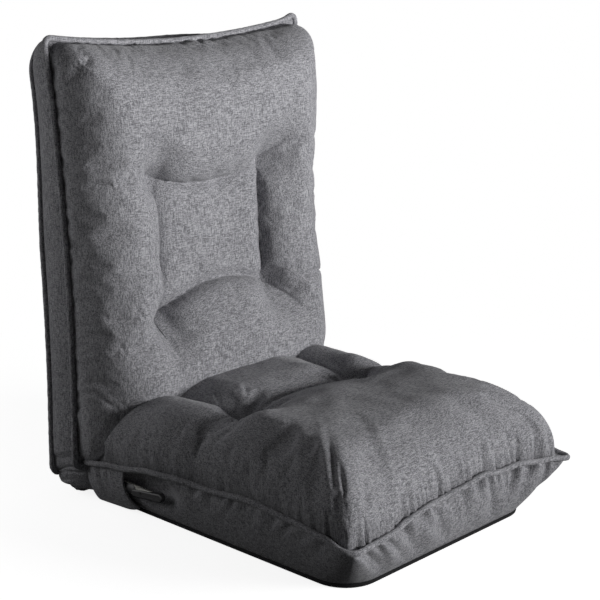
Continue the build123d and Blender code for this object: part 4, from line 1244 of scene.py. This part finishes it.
def foam_finish():
    foam = Finish("open_cell_foam", Roughness=0.95, Specular_IOR_Level=0.1)
    cells = foam.grain((1100, 1100, 1100))
    return foam.coat(cells, (0.70, 0.67, 0.56), (0.90, 0.88, 0.80), cells, 0.5, 0.0008)


def frame_paint():
    paint = Finish("satin_black_paint")
    orange_peel = paint.grain((260, 260, 260))
    worn = paint.grain((30, 30, 30), 4.0)
    return paint.coat(worn, (0.022, 0.022, 0.024), (0.040, 0.040, 0.042), orange_peel, 0.2, 0.0004,
                      Roughness=0.36 + worn * 0.16)


def zinc():
    metal = Finish("zinc_plate", Metallic=1.0)
    drawn = metal.grain((1400, 60, 60))
    cloud = metal.grain((40, 40, 40), 3.0)
    return metal.coat(cloud, (0.52, 0.52, 0.50), (0.70, 0.69, 0.64), drawn, 0.15, 0.0003,
                      Roughness=0.28 + drawn * 0.22)


def grip_plastic():
    plastic = Finish("moulded_grip")
    texture = plastic.grain((900, 900, 900))
    return plastic.coat(texture, (0.010, 0.010, 0.011), (0.020, 0.020, 0.022), texture, 0.25, 0.0004,
                        Roughness=0.42 + texture * 0.2)


finishes = {"linen_fabric": linen_cover, "piping_fabric": linen_piping, "black_base_cloth": black_cloth(),
            "felt": felt_finish(), "foam": foam_finish(), "frame_paint": frame_paint(),
            "zinc_steel": zinc(), "grip_plastic": grip_plastic()}
print("finishes:", ", ".join(sorted(finishes)))

# %% Dress every piece
dressed = {"linen_fabric": (back_cushion, seat_cushion, seat_band, back_band, panel, roll, flap, hem,
                            lever_corner, far_corner),
           "piping_fabric": (seat_piping, front_piping, rear_piping),
           "black_base_cloth": (base,),
           "felt": (felt,),
           "grip_plastic": (sleeve,)}
for slot, covers in dressed.items():
    for piece in covers:
        piece.data.materials.append(finishes[slot])
slots = {part["node"]: part["material_slot"] for part in frame["record"]["subparts"]}
for name, node in frame["nodes"].items():
    for material_slot in node.material_slots:
        material_slot.material = finishes[slots[name]]
print("dressed", sum(map(len, dressed.values())), "covers and", len(frame["nodes"]), "nodes of the frame")

# %% Every piece has its finish
print("every piece has its finish")

# %% [markdown]
# ## Studio
#
# One large soft light stands in front of the chair to the right, so the side towards the
# camera falls into shade as in a catalogue picture, and a small one at the rear lifts that
# shade. The air and the far floor are white to the camera and in reflections. The floor near
# the chair is white to the camera alone, so it leaves no streak on the black grip. The matt
# cloth gets next to no light from either. A bright surrounding would be simpler, but it would
# light the chair from every side and wash out its folds.

# %% Lamps
def soft_lamp(name, place, target, width, power):
    """A square lamp, itself out of the picture, that points at a target."""
    light = bpy.data.lights.new(name, "AREA")
    light.shape = "SQUARE"
    light.size = width
    light.energy = power
    lamp = in_scene(name, light)
    lamp.location = place
    lamp.rotation_euler = (Vector(target) - lamp.location).to_track_quat("-Z", "Y").to_euler()
    lamp.visible_camera = False


soft_lamp("key_light", (1.35, -2.8, 0.85), (0, 0, 6.4), 1.7, 262)
soft_lamp("side_light", (-0.95, 0.95, 0.55), (-0.3, 0.35, 0.6), 0.6, 2.3)
print("lamps placed")

# %% White surroundings
AIR, WHITE = 0.045, 1.0
NO_LIGHT, FULL_LIGHT = (0, 0, 0), (1, 1, 1)
SHADOW_PAPER, LIT_PAPER, PAPER_GLOW = (0.10, 0.10, 0.10), (0.80, 0.80, 0.80), (0.86, 0.86, 0.86)
PAPER_NEAR, PAPER_FAR = 0.45, 1.25
FLOOR_HALF = 6

world = bpy.data.worlds.new("studio_air")
scene.world = world
air = Nodes(world)
strength = air.node("ShaderNodeMix", {}, {0: air.seen(), 2: AIR, 3: WHITE})
background = air.node("ShaderNodeBackground", {}, {"Color": (*FULL_LIGHT, 1), "Strength": strength})
air.add("ShaderNodeOutputWorld", {}, {"Surface": background})

floor_corners = [(x * FLOOR_HALF, y * FLOOR_HALF, 0) for x, y in ((-1, -1), (1, -1), (1, 1), (-1, 1))]
floor = new_piece("studio_floor", floor_corners, [(0, 1, 2, 3)], None)
paper = Finish("white_floor", Roughness=1.0, Specular_IOR_Level=0.0, Emission_Strength=1.0)
spot = paper.node("ShaderNodeTexCoord", {}, {}, output="Object")
away = paper.node("ShaderNodeVectorMath", {"operation": "LENGTH"}, {0: spot}, output="Value")
open_floor = paper.node("ShaderNodeMapRange", {"interpolation_type": "SMOOTHSTEP"},
                        {"Value": away, "From Min": PAPER_NEAR, "From Max": PAPER_FAR})
rays = paper.seen(open_floor)
near_tone = paper.blend(rays, SHADOW_PAPER, LIT_PAPER)
glow = paper.blend(open_floor, PAPER_GLOW, FULL_LIGHT)
paper.feed(Base_Color=paper.blend(open_floor * rays, near_tone, NO_LIGHT))
paper.feed(Emission_Color=paper.blend(rays, NO_LIGHT, glow))
floor.data.materials.append(paper.material)
print("air and far floor are white in reflections too, the near floor to the camera alone")

# %% Camera at the photograph's angle
CAMERA_PLACE = (-1.78643, -1.64697, 0.99979)
LOOK_DOWN, LOOK_ROUND = 14.825, -46.728
LENS, SENSOR_WIDTH = 91.6, 36

camera_data = bpy.data.cameras.new("catalogue_camera")
camera = in_scene("catalogue_camera", camera_data)
camera.location = CAMERA_PLACE
camera.rotation_euler = (math.radians(90 - LOOK_DOWN), 0, math.radians(LOOK_ROUND))
camera_data.lens = LENS
camera_data.sensor_width = SENSOR_WIDTH
scene.camera = camera
scene.view_settings.view_transform = "Standard"
print("camera looks from", CAMERA_PLACE)
